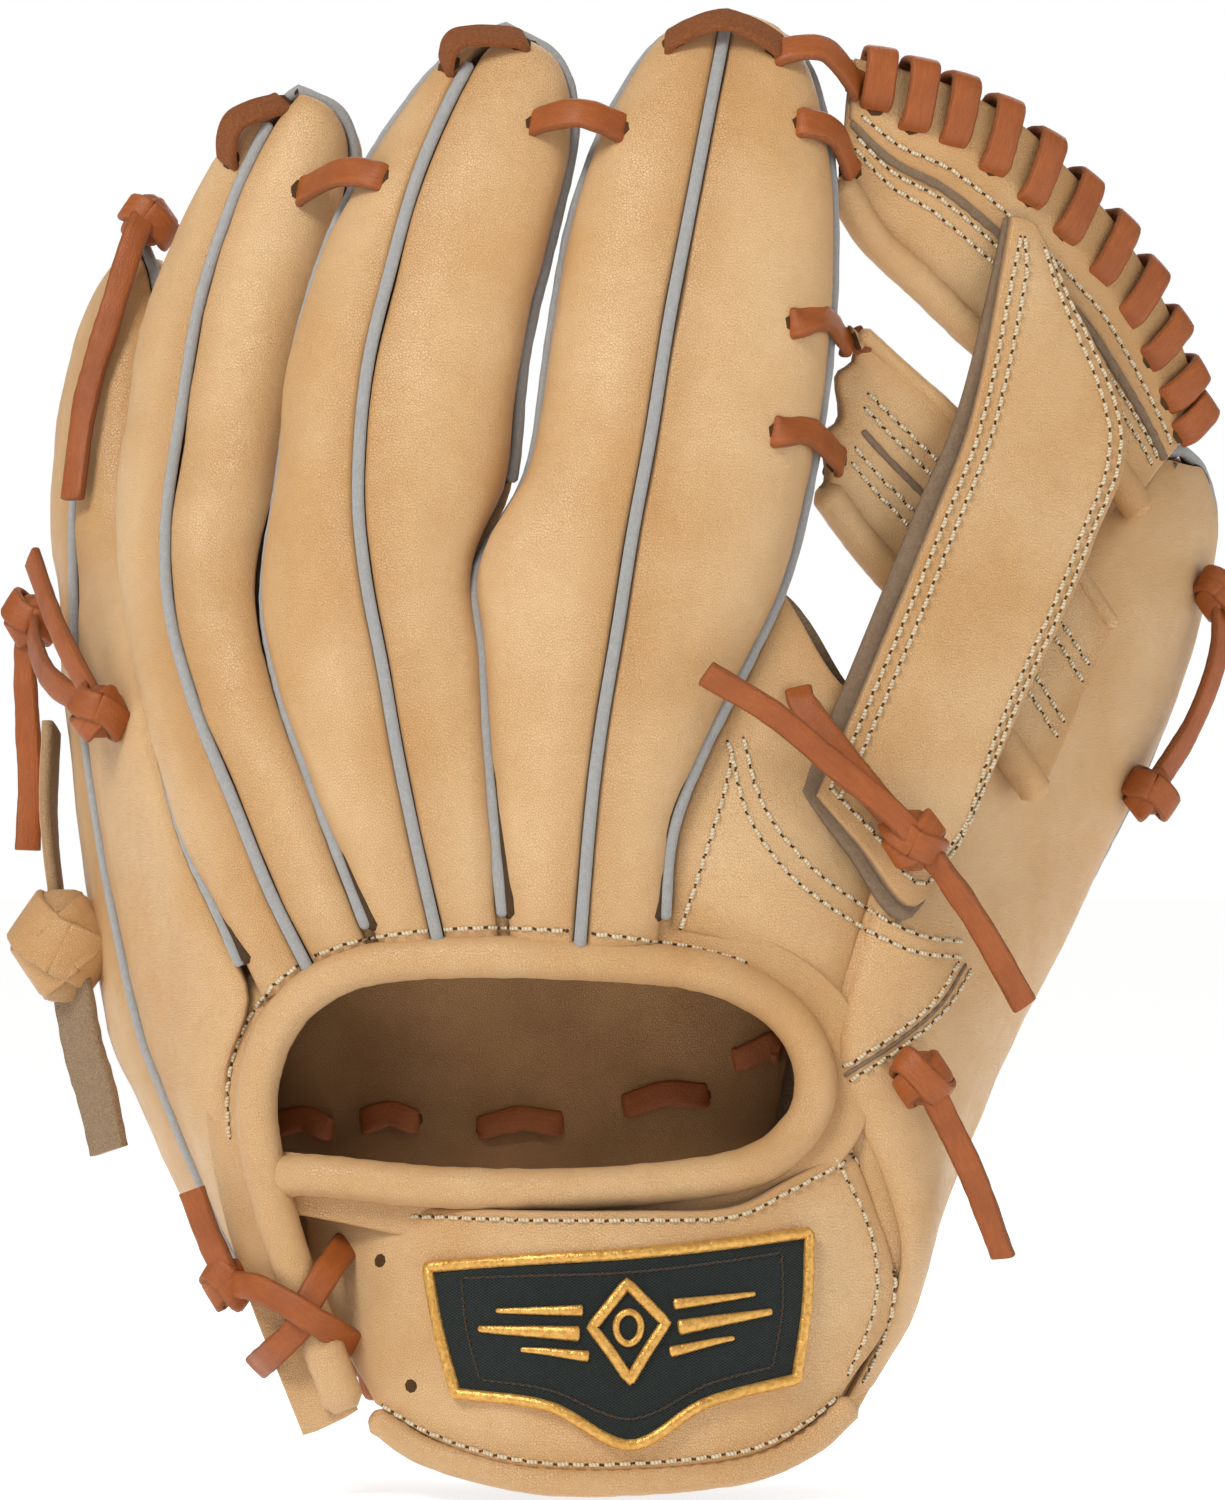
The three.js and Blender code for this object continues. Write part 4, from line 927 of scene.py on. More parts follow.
BACKS = {}
DENTS = {"ring": [(-58, 96, 9, 2.0), (-66, 120, 7, 0.8)], "middle": [(-15, 104, 8, 1.6), (-36, 150, 8, 0.8)],
         "index": [(22, 150, 9, 0.9), (8, 90, 8, 0.8)], "pinky": [(-92, 95, 8, 0.8)],
         "thumb": [(104, 60, 9, 0.8)]}
SEAM_WAY = np.array([-0.55, 0.83, -0.25]) * MM  # away from the ring finger's seam, over the pinky's back
PINKY_SEAM = (("hand", "pinky_side"), SEAM_WAY * 38.4, SEAM_WAY * 53.1)
for number, (name, stall) in enumerate(STALLS.items()):
    surface, body = lengthened(back_of(stall)), stall["body"]
    off = lambda edge, inner, d, s=surface: lambda b: inset(s, b, edge, inner, d)
    halves = ((0, 0.5, "pinky_side"), (0.5, 1, "thumb_side"))
    if name == "thumb":
        joined = lambda b, s=surface: np.where(b < 0.6, inset(s, b, 0, 1, 0.15), inset(s, b, 0, 1, NEAR))
        BACKS[name] = skin("thumb_back_leather", surface, (joined, off(1, 0, NEAR)),
                           (stall["start"], stall["tip"]), TAN, body,
                           [f"thumb_back_panel_{side}" for _, _, side in halves] + ["thumb_centre_welt"],
                           nu=26, nv=60, crease=DENTS[name], seed=18, puff=1.2)
    else:
        for half, (a, b, side) in enumerate(halves):
            ends = (off(a, b, NEAR), off(b, a, NEAR))
            BACKS[name, side] = skin(
                f"{name}_back_{side}_leather", surface, ends, (stall["start"], stall["tip"]), TAN,
                PINKY_SEAM if (name, side) == ("pinky", "thumb_side") else body, [f"{name}_back_panel_{side}"],
                nu=12, nv=60, crease=DENTS[name], seed=10 + 2 * number + half)
        v = np.linspace(max(stall["start"], -0.008), 0.9, 90)
        up = normals(surface, 0.5, v)
        ridge = surface(0.5, v) + up * -0.25
        swept(f"{name}_centre_welt_felt", spread(ridge, 110), flat_section(2.4, 1.9), spread(up, 110), WELT,
              body, "welt_felt", [f"{name}_centre_welt"])
        # a dark strip under the centre welt: painted shade in the seam's gaps
        swept(f"{name}_seam_shade_strip", spread(ridge - up * 2.9, 60), flat_section(9, 0.9), spread(up, 60), DARK,
              body, "lining_leather")
    rising, falling = np.linspace(stall["welt"][0], 0.99, 60), np.linspace(0.99, stall["welt"][1], 60)
    tip = [stall["left"][-1]]
    path = np.concatenate([spline(stall["left"], rising), tip, spline(stall["right"], falling)])
    middle = np.concatenate([sum(sides(stall, rising)[::2]) / 2, tip, sum(sides(stall, falling)[::2]) / 2])
    if body == "hand":  # behind the panels up the fingers, and proud of them below the crotch
        proud = np.clip((stall["crotch"] + 0.02 - np.concatenate([rising, [1], falling])) / 0.06, 0, 1)[:, None]
        path = path + np.array([0, 0.8, 0]) - proud * [0, 2.0, 0]
    edge_body = PINKY_SEAM if name == "pinky" else body
    welt_line = spread(path, 240)
    swept(f"{name}_edge_welt_felt", welt_line, circle(1.25, 10), None, WELT, edge_body, "welt_felt",
          [f"{name}_edge_welt"], 1 + 0.06 * wobble(welt_line, 5, number))
    room = np.linalg.norm(middle - path, axis=1, keepdims=True)
    inner = spread(np.concatenate([path + unit(middle - path) * 2.0 + [0, 0.5, 0], room], 1), 160)
    # a dark strip inside the edge welt: painted shade in the seam's gaps
    swept(f"{name}_edge_shade_strip", inner[:, :3], circle(2.0, 8), None, DARK, edge_body, "lining_leather",
          scale=np.clip(inner[:, 3] / 7, 0.2, 1))


# ---- linings ------------------------------------------------------------------------------
LINING_SIDE, LINING_DEPTH = 2.6, 3.0  # room between shell and lining


def inner_rings(stall, v):
    """Closed rings inside a finger's shell, one for each v."""
    left, centre, right = sides(stall, v)
    across = unit(right - left)
    crown = centre - left
    reach = dot(crown, across) - LINING_SIDE
    crown = crown - across * dot(crown, across)
    left, right = left + across * LINING_SIDE, right - across * LINING_SIDE
    width = np.linalg.norm(right - left, axis=-1, keepdims=True)
    up = unit(crown)
    rings = []
    for high in (True, False):
        for u in np.linspace(0.02, 0.98, 14)[:: 1 if high else -1]:
            a = np.pi * u
            tall = np.linalg.norm(crown, axis=-1, keepdims=True) - LINING_DEPTH if high else np.minimum(
                -0.5, LINING_DEPTH - front_depth(v)[:, None])
            near = reach if high else width / 2
            x = near * (1 - np.cos(a)) if u < 0.5 else near - (width - near) * np.cos(a)
            rings.append(left + across * x + up * tall * np.sin(a) ** 0.9)
    return np.stack(rings, 1)


def finger_lining(name, stall, v0, v1, nodes):
    rings = inner_rings(stall, np.linspace(v0, v1, 24))
    rows, cols = rings.shape[:2]
    verts = np.concatenate([rings.reshape(-1, 3), rings[-1].mean(0)[None]])
    faces = grid_faces(rows, cols, close=True).tolist()
    top = (rows - 1) * cols
    faces += [[top + k, top + (k + 1) % cols, rows * cols] for k in range(cols)]
    return build(name, verts, faces, DARK, stall["body"], "lining_leather", nodes)


for name, stall in STALLS.items():
    outer = name in ("pinky", "thumb")
    finger_lining(f"{name}_lining_leather", stall, 0.5 if outer else 0.34, 0.88 if name == "thumb" else 0.93,
                  [f"{name}_lining"] if outer else ())
PALM_LINING = skin("palm_lining_leather", palm, (0.2, 0.775), (0.02, 0.96), LINING, "hand", ["hand_lining"],
                   "lining_leather", nu=30, nv=30, lift=7.6, thick=1.2, soft=0.8, puff=0.3)
palm_pad = skin("palm_pad_felt", palm, (0.26, 0.72), (0.06, 0.62), PAD, "hand", ["palm_pad"], "pad_felt",
                lift=5.6, thick=3, nu=10, nv=10, puff=0.1, soft=0.1)
thumb_pad = skin("thumb_pad_felt", palm, (0.885, 0.96), (0.08, 0.68), PAD, "thumb_side", ["thumb_heel_pad"],
                 "pad_felt", lift=6.1, thick=3, nu=6, nv=10)

# ---- palm ---------------------------------------------------------------------------------
RATE = {"index": 0.8, "middle": 0.8, "ring": 0.8, "pinky": 0.75, "thumb": 0.35}


def smooth(x):
    x = np.clip(x, 0, 1)
    return x * x * (3 - 2 * x)


def palm_strip(name, t, low, high, edges):
    """Points of the palm leather over one finger: heel at t 0, crotch at t 1, on up its front."""
    stall = STALLS.get(name)
    q = np.concatenate([[0, 0.012, 0.03, 0.06, 0.1], np.linspace(0.16, 0.84, 13), [0.9, 0.94, 0.97, 0.988, 1]])
    u = low + (high - low) * q
    uu, tt = np.broadcast_arrays(u[None], t[:, None])
    flat = palm(uu, np.minimum(tt, 1))
    slope = (palm(uu, np.ones_like(uu)) - palm(uu, np.full_like(uu, 0.97))) / 0.03
    points = flat + slope * np.maximum(tt - 1, 0)[..., None]
    if stall:
        front = front_of(stall)(np.broadcast_to(q[None], uu.shape), stall["crotch"] + (tt - 1) * RATE[name])
        wide = 0.26 if name != "thumb" else 0.5
        share = smooth((tt - 1.06 + wide) / wide)[..., None]
        points = points * (1 - share) + front * share
    distance = np.full(uu.shape, 9.0)
    for i, here in enumerate(t):
        row = points[i]
        s = run(row)
        opened = smooth((here - 0.86) / 0.14)
        a, b = NEAR * max(edges[0], opened), NEAR * max(edges[1], opened)
        at = a + s * (s[-1] - a - b) / s[-1]
        points[i] = sample(at, s, row)
        for gap, reach in ((s, max(edges[0], opened)), (s[-1] - s, max(edges[1], opened))):
            distance[i] = np.minimum(distance[i], gap + 9 * (1 - reach))
    return points, distance


def palm_rows(name):
    """Stations of the palm leather from the heel to a finger's tip, or to the web where no finger stands."""
    stall = STALLS.get(name)
    low = np.concatenate([[0, 0.004, 0.01, 0.02], np.linspace(0.04, 0.9, 40)])
    if not stall:
        return np.concatenate([low, np.linspace(0.9, 1.0, 7)[1:]])
    end = 1 + (stall["tip"] - stall["crotch"]) / RATE[name]
    return np.concatenate([low, 0.9 + (end - 0.9) * np.linspace(0, 1, 44)[1:]])


PALM_SEED = 61
WELD = 0.02  # points closer than this become one


def used_only(verts, dist, faces):
    used, inverse = np.unique(faces, return_inverse=True)
    return verts[used], dist[used], inverse.reshape(faces.shape)


def palm_piece(name, strips, body, nodes):
    """One closed leather over several fingers' strips, without the parts that the next piece covers."""
    verts, faces, dist, start = [], [], [], 0
    for finger, low, high, edges, drop in strips:
        rows = palm_rows(finger)
        points, distance = palm_strip(finger, rows, low, high, edges)
        r, c = distance.shape
        half = c // 2
        up = run(points[:, half])
        distance = np.minimum(distance, np.minimum(up, up[-1] - up)[:, None])
        quads = grid_faces(r, c, start).reshape(r - 1, c - 1, 4)
        keep = np.ones((r - 1, c - 1), bool)
        below = rows[:-1] < 0.9 - 1e-6
        if drop == "low_left":
            keep[np.ix_(below, np.arange(c - 1) < half)] = False
        elif drop == "keep_low_left":
            keep[:] = False
            keep[np.ix_(below, np.arange(c - 1) < half)] = True
        elif drop == "left":
            keep[:, :half] = False
        elif drop == "right":
            keep[:, half:] = False
        faces.append(quads[keep])
        verts.append(points.reshape(-1, 3))
        dist.append(distance.ravel())
        start += r * c
    verts, faces, dist = np.concatenate(verts), np.concatenate(faces), np.concatenate(dist)
    verts, dist, faces = used_only(verts, dist, faces)
    places = {}
    first = [places.setdefault(tuple(np.round(p / WELD).astype(int)), i) for i, p in enumerate(verts)]
    verts, dist, faces = used_only(verts, dist, np.array(first)[faces])
    faces = faces[:, ::-1]
    normal = np.zeros_like(verts)
    a, b, c, d = (verts[faces[:, k]] for k in range(4))
    face_normal = np.cross(c - a, d - b)
    for k in range(4):
        np.add.at(normal, faces[:, k], face_normal)
    normal = unit(normal)
    if normal[:, 1].mean() < 0:
        faces, normal = faces[:, ::-1], -normal
    height = (0.3 - 0.5 * np.exp(-dist / 2.2) - round_drop(dist, EDGE_R)
              + 0.35 * wobble(verts, 30, PALM_SEED) + 0.18 * wobble(verts, 11, PALM_SEED + 1))
    outer = verts + normal * height[:, None]
    inner = verts + normal * np.minimum(height - 0.3, -SHELL)[:, None]
    n = len(verts)
    edges = {(int(x), int(y)): True for f in faces for x, y in zip(f, np.roll(f, -1))}
    rim = [(x, y) for x, y in edges if (y, x) not in edges]
    all_faces = [list(map(int, f)) for f in faces] + [[int(i) + n for i in f[::-1]] for f in faces]
    all_faces += [[y, x, x + n, y + n] for x, y in rim]
    raw = np.concatenate([np.clip(1 - dist / 0.3, 0, 1), np.ones(n)])
    return build(name, np.concatenate([outer, inner]), all_faces, TAN, body, "shell_leather", nodes,
                 raw=raw, edge=np.concatenate([dist, np.zeros(n)]))


WEB = "thumb_side"
PINKY_BEND = (("hand", "pinky_side"), np.array([-29.6, 49.5, 0]) * MM, np.array([-35.9, 60.6, 0]) * MM)
THUMB_BEND = (("hand", "thumb_side"), np.array([47.0, 15, -6.4]) * MM, np.array([57.2, 18.2, -7.8]) * MM)
palm_piece("palm_leather_pinky_side",
           [("pinky", 0, 2 / 12, (1, 0), None), ("ring", 2 / 12, 4 / 12, (0, 0), "keep_low_left")],
           PINKY_BEND, ["palm_shell_pinky_side"])
palm_piece("palm_leather_middle",
           [("ring", 2 / 12, 4 / 12, (0, 0), "low_left"), ("middle", 4 / 12, 6 / 12, (0, 0), None),
            ("index", 6 / 12, 8 / 12, (0, 0), None), (None, 8 / 12, 10 / 12, (0, 0), "right")],
           "hand", ["palm_shell"])
palm_piece("palm_leather_thumb_side",
           [(None, 8 / 12, 10 / 12, (0, 0), "left"), ("thumb", 10 / 12, 1, (0, 1), None)],
           THUMB_BEND, ["palm_shell_thumb_side"])

# ---- thumb root, open back, strap ---------------------------------------------------------
GUSSET = skin("thumb_gusset_leather", gusset, (lambda b: inset(gusset, b, 0, 1, NEAR),
                                              lambda b: inset(gusset, b, 1, 0, 0.15)), (0, 1), TAN,
              THUMB_BEND, ["thumb_gusset"], nu=20, nv=30, seed=31, puff=1.0)
BINDING = [[-37, -15, -64], [-40.5, -13, -55], [-48, -11.5, -35], [-53, -10.5, -16], [-53.5, -10.5, -3],
           [-49, -12, 9], [-40, -14, 17], [-26.5, -17, 20.8], [-1, -20, 21.5], [28.5, -18, 19.5],
           [42, -15, 15], [51, -12, 7.5], [54.5, -11, -3], [51, -12, -12.5], [40, -17, -19.5],
           [13, -21, -22.8], [-17, -20, -22.8], [-42, -14, -20.8], [-49.5, -9.8, -21.5]]
ring = curve(BINDING, 200)
outward = unit((ring - ring.mean(0)) * [1, 0, 1])
leftward = np.maximum(0, -outward[:, :1]) ** 2
shift = outward * 5.2 + [0, 1.9, 0] + leftward * [0, 3.4, 0]
# edge 3 mm, here and on the underlap, gives the whole strip a little of the leather's painted edge shade
FLANGE = swept("opening_flange_leather", ring + shift, flat_section(12, 1.4),
               np.array([0, -1, 0]) - leftward * [0.8, 0, 0], TAN, "hand", "shell_leather", raw=0.0, edge=3.0)
under_v = np.linspace(0, 0.61, 80)
under = spline(STALLS["thumb"]["left"], under_v) + np.array([-2.4, 2.0, 0])
swept("thumb_underlap_leather", under, flat_section(11.5, 1.4),
      normals(back_of(STALLS["thumb"]), 0.03, under_v), TAN, WEB, "shell_leather", raw=0.0, edge=3.0)
roll("opening_binding_leather", BINDING, 4.1, "hand", 260, 0.018, ["opening_binding"], 18)
STRAP = skin("wrist_strap_leather", strap, (0, 1), (0, 1), TAN, "hand", ["wrist_strap"], nu=40, nv=24, seed=41,
             puff=0.9, soft=0.35)
PIPING = [[-30, -68.4], [-19.5, -74.2], [0, -78.4], [20, -78.6], [41, -76.7], [53, -72], [60.5, -65.8]]
roll("strap_piping_leather", on_strap(PIPING, -0.6), 2.9, "hand", 120, 0.02, ["strap_piping"])
fleece = skin("strap_fleece_pile", strap, (0.2, 0.86), (0.12, 0.94), FLEECE, "hand", ["strap_fleece"], "fleece",
              nu=60, nv=30, lift=-3.4, thick=4.6, puff=0, soft=0.7)
inflate(fleece)
PATCH_CLOTH = skin("label_patch_cloth", label, (0.01, 0.99), (0.015, 0.985), PATCH, "hand", ["label_patch"],
                   "label_weave", nu=30, nv=16, lift=1.5, thick=1.2, puff=0.4, dip=0.2, soft=0.1, inner_raw=0)
edge = np.linspace(0, 1, 24)
rim_path = np.concatenate([label(edge, 0 * edge), label(0 * edge + 1, edge)[1:],
                           label(1 - edge, 0 * edge + 1)[1:], label(0 * edge, 1 - edge)[1:-1]])
rim_path[:, 1] -= 1.5
swept("label_rim_gold", spread(np.concatenate([rim_path, rim_path[:1]]), 260), circle(1.15, 10), None, GOLD,
      "hand", "label_gold", ["label_rim"])

# ---- web ----------------------------------------------------------------------------------
BAND_LOWER = skin("web_band_lower_leather", band, (0, 1), (0.0, 0.62), TAN, WEB, ["web_top_band"], nu=60, nv=10,
                  seed=51, thick=2.0, lift=-0.3, puff=0.3, inner_raw=0.3)
BAND = skin("web_band_rim_leather", band, (0.005, 0.995), (0.5, 1.0), TAN, WEB, nu=60, nv=10, seed=52,
            thick=1.7, lift=1.0, puff=0.3, dip=0.2, inner_raw=0.3)
skin("web_band_back_leather", band, (0.005, 0.995), (0.45, 1.0), TAN, WEB, nu=60, nv=8, seed=53, thick=1.4,
     lift=-2.4, puff=0, inner_raw=0)
u = np.linspace(0, 1, 90)
roll("web_band_roll_leather", band(u, 0 * u) + normals(band, u, 0 * u) * 0.9, 3.3, WEB, 120, 0.03)
BAR = skin("web_cross_bar_leather", bar, (lambda b: 0.03 + 0.022 * np.sin(b * 17), 1), (0.02, 0.98), TAN, WEB,
           ["web_cross_bar"], nu=40, nv=16, seed=54, puff=0.8, inner_raw=0)
skin("web_post_back_leather", post, (0, 1), (0, 1), RAW_EDGE, WEB, nu=16, nv=60, seed=56, thick=1.9, lift=-0.9,
     puff=0.1, dip=0.1)
POST = skin("web_post_leather", post, (0.075, 1), (0.02, 1), TAN, WEB, ["web_post"], nu=16, nv=60, seed=55,
            thick=1.9, lift=1.1, puff=0.8, dip=0.2, inner_raw=1)
for end, radius in ((0, 3.3), (1, 1.8)):
    u = np.linspace(0.06, 0.98, 60)
    line = bar(u, 0 * u + end * 0.98 + 0.01) - normals(bar, u, 0 * u + end) * 0.8
    roll(f"web_bar_roll_{end}_leather", line, radius, WEB, 90, 0.03)


for name, surface, u, v, piece, radius in (
        ("web_band_raw_edge", band, np.linspace(0.015, 0.985, 160), 0.49, BAND, 1.1),
        ("web_bar_raw_edge", bar, np.linspace(0.13, 0.5, 60), 0.5, BAR, 0.7)):
    n = normals(surface, u, v)
    line = rest_on(surface(u, np.full_like(u, v)), n, piece, 0.1)
    swept(name, line, circle(radius, 10, 0.7), n, RAW_EDGE, WEB, "welt_felt",
          scale=1 + 0.12 * wobble(line, 4, 9))

rim_parts = []
for i in range(11):
    t = 0.06 + 0.91 * i / 10
    at = lambda v, d, beyond=0.0: (band(t, v) + normals(band, t, 0.9) * d
                                   + unit(band(t, 1.0) - band(t, 0.85)) * beyond)
    path = [at(0.7, 0.2), at(0.76, 2.5), at(0.95, 2.9), at(1, 2.0, 1.9), at(1, -1.0, 2.6), at(1, -4.0, 1.9),
            at(0.92, -4.9), at(0.76, -4.6), at(0.7, -2.6)]
    middle = at(0.86, -1.0)
    path = np.array(path)
    rim_parts.append(lace_mesh(path, unit(path - middle), 6.3, 1.8, seed=70 + i))
    punch(at(0.728, 1.2), normals(band, t, 0.9), WEB, LACE_HOLE)
stations = np.linspace(0.05, 0.97, 22)
inward = -np.array([normals(band, t, 0.8) for t in stations])
back_run = np.array([band(t, 0.8) for t in stations]) + inward * 4.6
rim_parts.append(lace_mesh(back_run, inward, 4.2, 1.4, seed=90))
laces("web_rim_lacing", rim_parts, WEB, ["web_rim_lace"])

# ---- laces, knots and free ends -----------------------------------------------------------
OUT = (0, -1, 0)
both_backs = lambda name: [BACKS[name, side] for side in ("pinky_side", "thumb_side")]
fingers = both_backs("ring") + both_backs("middle") + both_backs("index")
on_web = [BAND, BAND_LOWER, BAR]
SHORT = {
    "ring_tip_lace": ([(-59.5, 176.5), (-58.6, 184), (-49.8, 187)], fingers, 3.4, 1.0),
    "middle_tip_lace": ([(-21.5, 193.6), (-14.6, 200.3), (-3.2, 199.4)], fingers, 3.4, 1.0),
    "index_tip_lace": ([(26.9, 199.5), (37, 203.8), (47, 198.4)], fingers, 3.0, 1.0),
    "ring_middle_lace": ([(-45.2, 170.4), (-38, 174), (-30.5, 173)], fingers, 4.5, 0.0),
    "middle_index_lace": ([(0.4, 183.6), (8.5, 185.6), (16.5, 182.6)], fingers, 4.5, 0.0),
    "index_web_lace_1": ([(48.2, 197.2), (56.5, 198), (62.6, 191.3)], fingers + on_web, 3.0, 0.0),
    "index_web_lace_2": ([(52.2, 183.4), (58.5, 181.5), (61.6, 174.3)], fingers + on_web, 3.0, 0.0),
    "index_web_lace_3": ([(51, 144.6), (57, 145.4), (61.8, 141)], fingers + on_web, 3.4, 0.0),
    "index_web_lace_4": ([(47.6, 123.4), (54, 123.2), (59, 117.8)], fingers + on_web, 3.4, 0.0),
}
for i, (name, (seen, pieces, rise, rough_out)) in enumerate(SHORT.items()):
    far = WEB if "web" in name else "hand"
    a, b, part = thong(seen, pieces, rise, ("hand", far), rough_out, 100 + i, 6.2)
    body = (("hand", WEB), a * MM, b * MM) if far == WEB else "hand"
    laces(name + "_strand", [part], body, [name])

DASHES = [(-44.9, -11.7), (-28.3, -10.7), (-2.9, -11.7), (25.4, -6.8), (46.8, 2.9)]
inside = []
for i, (x, z) in enumerate(DASHES):
    half = 7 if i > 1 else 4.5
    lean = 0.16 * (i - 1)
    seen = [(x - half, z - lean * 3), (x, z + 1.2), (x + half, z + lean * 3)]
    inside.append(thong(seen, [PALM_LINING], 1.6, ("hand", "hand"), 0.3, 140 + i, 5.2)[2])
laces("inside_lacing", inside, "hand")

KNOT = [10.5, 10, 10.5]


def strand(path, facing=OUT, *, seed):
    return lace_mesh(path, facing, seed=seed)


laces("pinky_tip_knot_lace", knot_parts([-79.3, 66.5, 169.3], KNOT, 11), "pinky_side", ["pinky_tip_knot"])
laces("pinky_side_lacing", knot_parts([-86, 16.5, 69], KNOT, 12) + knot_parts([-103.4, 72, 88], KNOT, 13) + [
    strand([[-86.5, 16.5, 69], [-96.5, 34, 75], [-101.5, 55, 82], [-103.4, 72, 88]], (-1, -0.6, 0), seed=14),
    strand([[-86.5, 16.5, 70], [-95, 30, 85], [-101.5, 46, 100]], (-1, -0.6, 0), seed=15)],
    PINKY_SEAM, ["pinky_side_lace"])
laces("strap_cross_lacing", knot_parts([-59.6, -5.2, -42.2], [8.6, 8, 8.6], 16) + [
    strand([[-59.6, -6.5, -42.3], [-54, -13.6, -42.5], [-47.5, -18.6, -45.2], [-43, -19.4, -48],
            [-38.5, -15.5, -51], [-35.5, -9.5, -53.5], [-34, -5, -55]], seed=17),
    strand([[-54, -5, -58.5], [-50.5, -13.5, -55], [-46, -17.2, -50.5], [-43.5, -17.4, -45], [-40.5, -15, -40],
            [-38, -10, -36.5], [-36.5, -5, -34.5]], seed=18),
    strand([[-59.8, -6.8, -40.8], [-63.6, -8.4, -32], [-66.5, -8, -24]], (-0.5, -1, 0), seed=19)],
    "hand", ["strap_cross_lace"])
laces("web_post_knot_lace", knot_parts([73, -19.5, 44], [12, 11, 12], 20) + [
    strand([[51, -14.5, 73], [52, -17.5, 70], [58, -20, 62], [66, -20.5, 52], [73, -19.5, 44]], seed=21)],
    WEB, ["web_post_knot"])
laces("thumb_root_knot_lace", knot_parts([75, -14, -2], KNOT, 22), WEB, ["thumb_root_knot"])
laces("thumb_side_lacing", knot_parts([138, 52.5, 93.3], [9, 9, 9], 23)
      + knot_parts([123, 42.5, 53], [9, 9, 9], 24) + [
    strand([[138, 52.5, 93.3], [137, 50, 80], [131.5, 46.5, 66], [123, 42.5, 53]], (1, -0.7, 0), seed=25)],
    WEB, ["thumb_side_lace"])

TAILS = {
    "pinky_tip_tail": ([[-80.3, 62.5, 169.5], [-82.3, 59.5, 164], [-86.2, 57.2, 150.5], [-91.2, 54, 132.3],
                        [-93.7, 49.5, 112]], "pinky_side"),
    "pinky_side_tail": ([[-104.2, 71.5, 86.5], [-105, 72.3, 79], [-104.6, 73.5, 68], [-104, 73, 54],
                         [-104.4, 72, 41]], "pinky_side"),
    "web_post_tail_long": ([[72.5, -23.5, 45.5], [67.5, -25.9, 50.5], [57.6, -27.7, 58.6], [46, -30.5, 68.2],
                            [33, -34, 76]], WEB),
    "web_post_tail_short": ([[75, -20.5, 42.5], [79, -20.3, 37.6], [86.3, -15, 27], [95, -8, 12]], WEB),
    "thumb_root_tail": ([[76, -15.5, -3], [78.4, -16.2, -8], [84.6, -12, -20.5], [91, -5, -37]], WEB),
}
for i, (name, (path, body)) in enumerate(TAILS.items()):
    line = curve(path, 30)
    turn = np.linspace(-0.5, 0.35, 5)[:, None] * (1 if i % 2 else -1)
    facing = unit(np.array([-0.25, -1, 0.1]) + turn * [1, 0, 0.3])
    piece = laces(name + "_lace", [lace_mesh(path, facing, TAIL_W, seed=120 + i)], body, [name])
    length = float(whole(line)) * MM

# ---- lacing over the heel's edge, seen from the palm ------------------------------------------
heel = []
for i, u in enumerate(np.linspace(0.28, 0.76, 8)):
    inward = normals(palm, u, 0.03)
    at = lambda v, deep, below=0.0: palm(u, v) + inward * deep + unit(palm(u, 0.0) - palm(u, 0.04)) * below
    path = np.array([at(0.075, -0.2), at(0.065, -1.8), at(0.02, -2.0), at(0, -1.2, 1.4), at(0, 1.5, 2.1),
                     at(0, 4, 1.2), at(0.03, 4.6), at(0.06, 4.4)])
    heel.append(lace_mesh(path, unit(path - at(0.03, 1.4)), seed=160 + i))
    punch(at(0.073, -0.35), -inward, "hand", 2.4)
laces("heel_lacing", heel, "hand")

# ---- adjusting strap ----------------------------------------------------------------------
def leather_strip(path, facing, width, thick, seed, rough_out=0.0):
    verts, faces, extra = lace_mesh(path, facing, width, thick, rough_out, seed=seed)
    return verts, faces, dict(raw=extra["raw"], edge=np.minimum(extra["across"], 1 - extra["across"]) * width)


def leather_knot(centre, size, seed):
    # edge 3 mm gives the whole knot a little of the leather's painted edge shade
    return [(v, f, dict(raw=e["raw"] * 0.5, edge=np.full(len(v), 3.0)))
            for v, f, e in knot_parts(centre, size, seed=seed, width=11.5)]


verts, faces, extra = merged([
    leather_strip([[-99.2, 67, 66], [-99.4, 62, 48], [-97, 55, 30], [-95, 50.5, 22]], (-1, 0.1, 0),
                  11, 2.4, 31),
    *leather_knot([-95.5, 49, 22], [20, 18, 24], 32),
    leather_strip([[-94, 48, 16], [-91.5, 47.5, 2], [-88.5, 46, -8], [-86, 44.5, -19]], (-0.8, -0.8, 0),
                  11, 2.4, 33, 1.0)])
build("adjusting_strap_leather", verts, faces, TAN, "pinky_side", "shell_leather", ["adjusting_strap"], **extra)

# ---- stitching ----------------------------------------------------------------------------
for v in (0.03, 0.962):
    u = np.linspace(0.03, 0.97, 200)
    sew_on(strap, u, v, "hand", STRAP)
v = np.linspace(0.05, 0.975, 200)
for edge_u, inner_u, distance in ((0.075, 1, 2.0), (0.075, 1, 4.6), (1, 0, 2.0), (1, 0, 4.6)):
    sew_on(post, inset(post, v, edge_u, inner_u, distance), v, WEB, POST)
for row_v in (0.055, 0.085):
    sew_on(post, np.linspace(0.12, 0.92, 60), row_v, WEB, POST)
for row_v, piece in ((0.585, BAND), (0.43, BAND_LOWER), (0.35, BAND_LOWER)):
    sew_on(band, np.linspace(0.03, 0.97, 200), row_v, WEB, piece)
for row_v in (0.62, 0.71, 0.38, 0.29):
    sew_on(bar, np.linspace(0.11, 0.52, 80), row_v, WEB, BAR)
    sew_on(bar, np.linspace(0.74, 0.97, 60), row_v, WEB, BAR)
back_pieces = fingers + both_backs("pinky")
around_ring = ring + outward * 5.6
seen_ring = EYE[[0, 2]] + (around_ring[:, [0, 2]] - EYE[[0, 2]]) / (1 - around_ring[:, 1:2] / EYE[1])
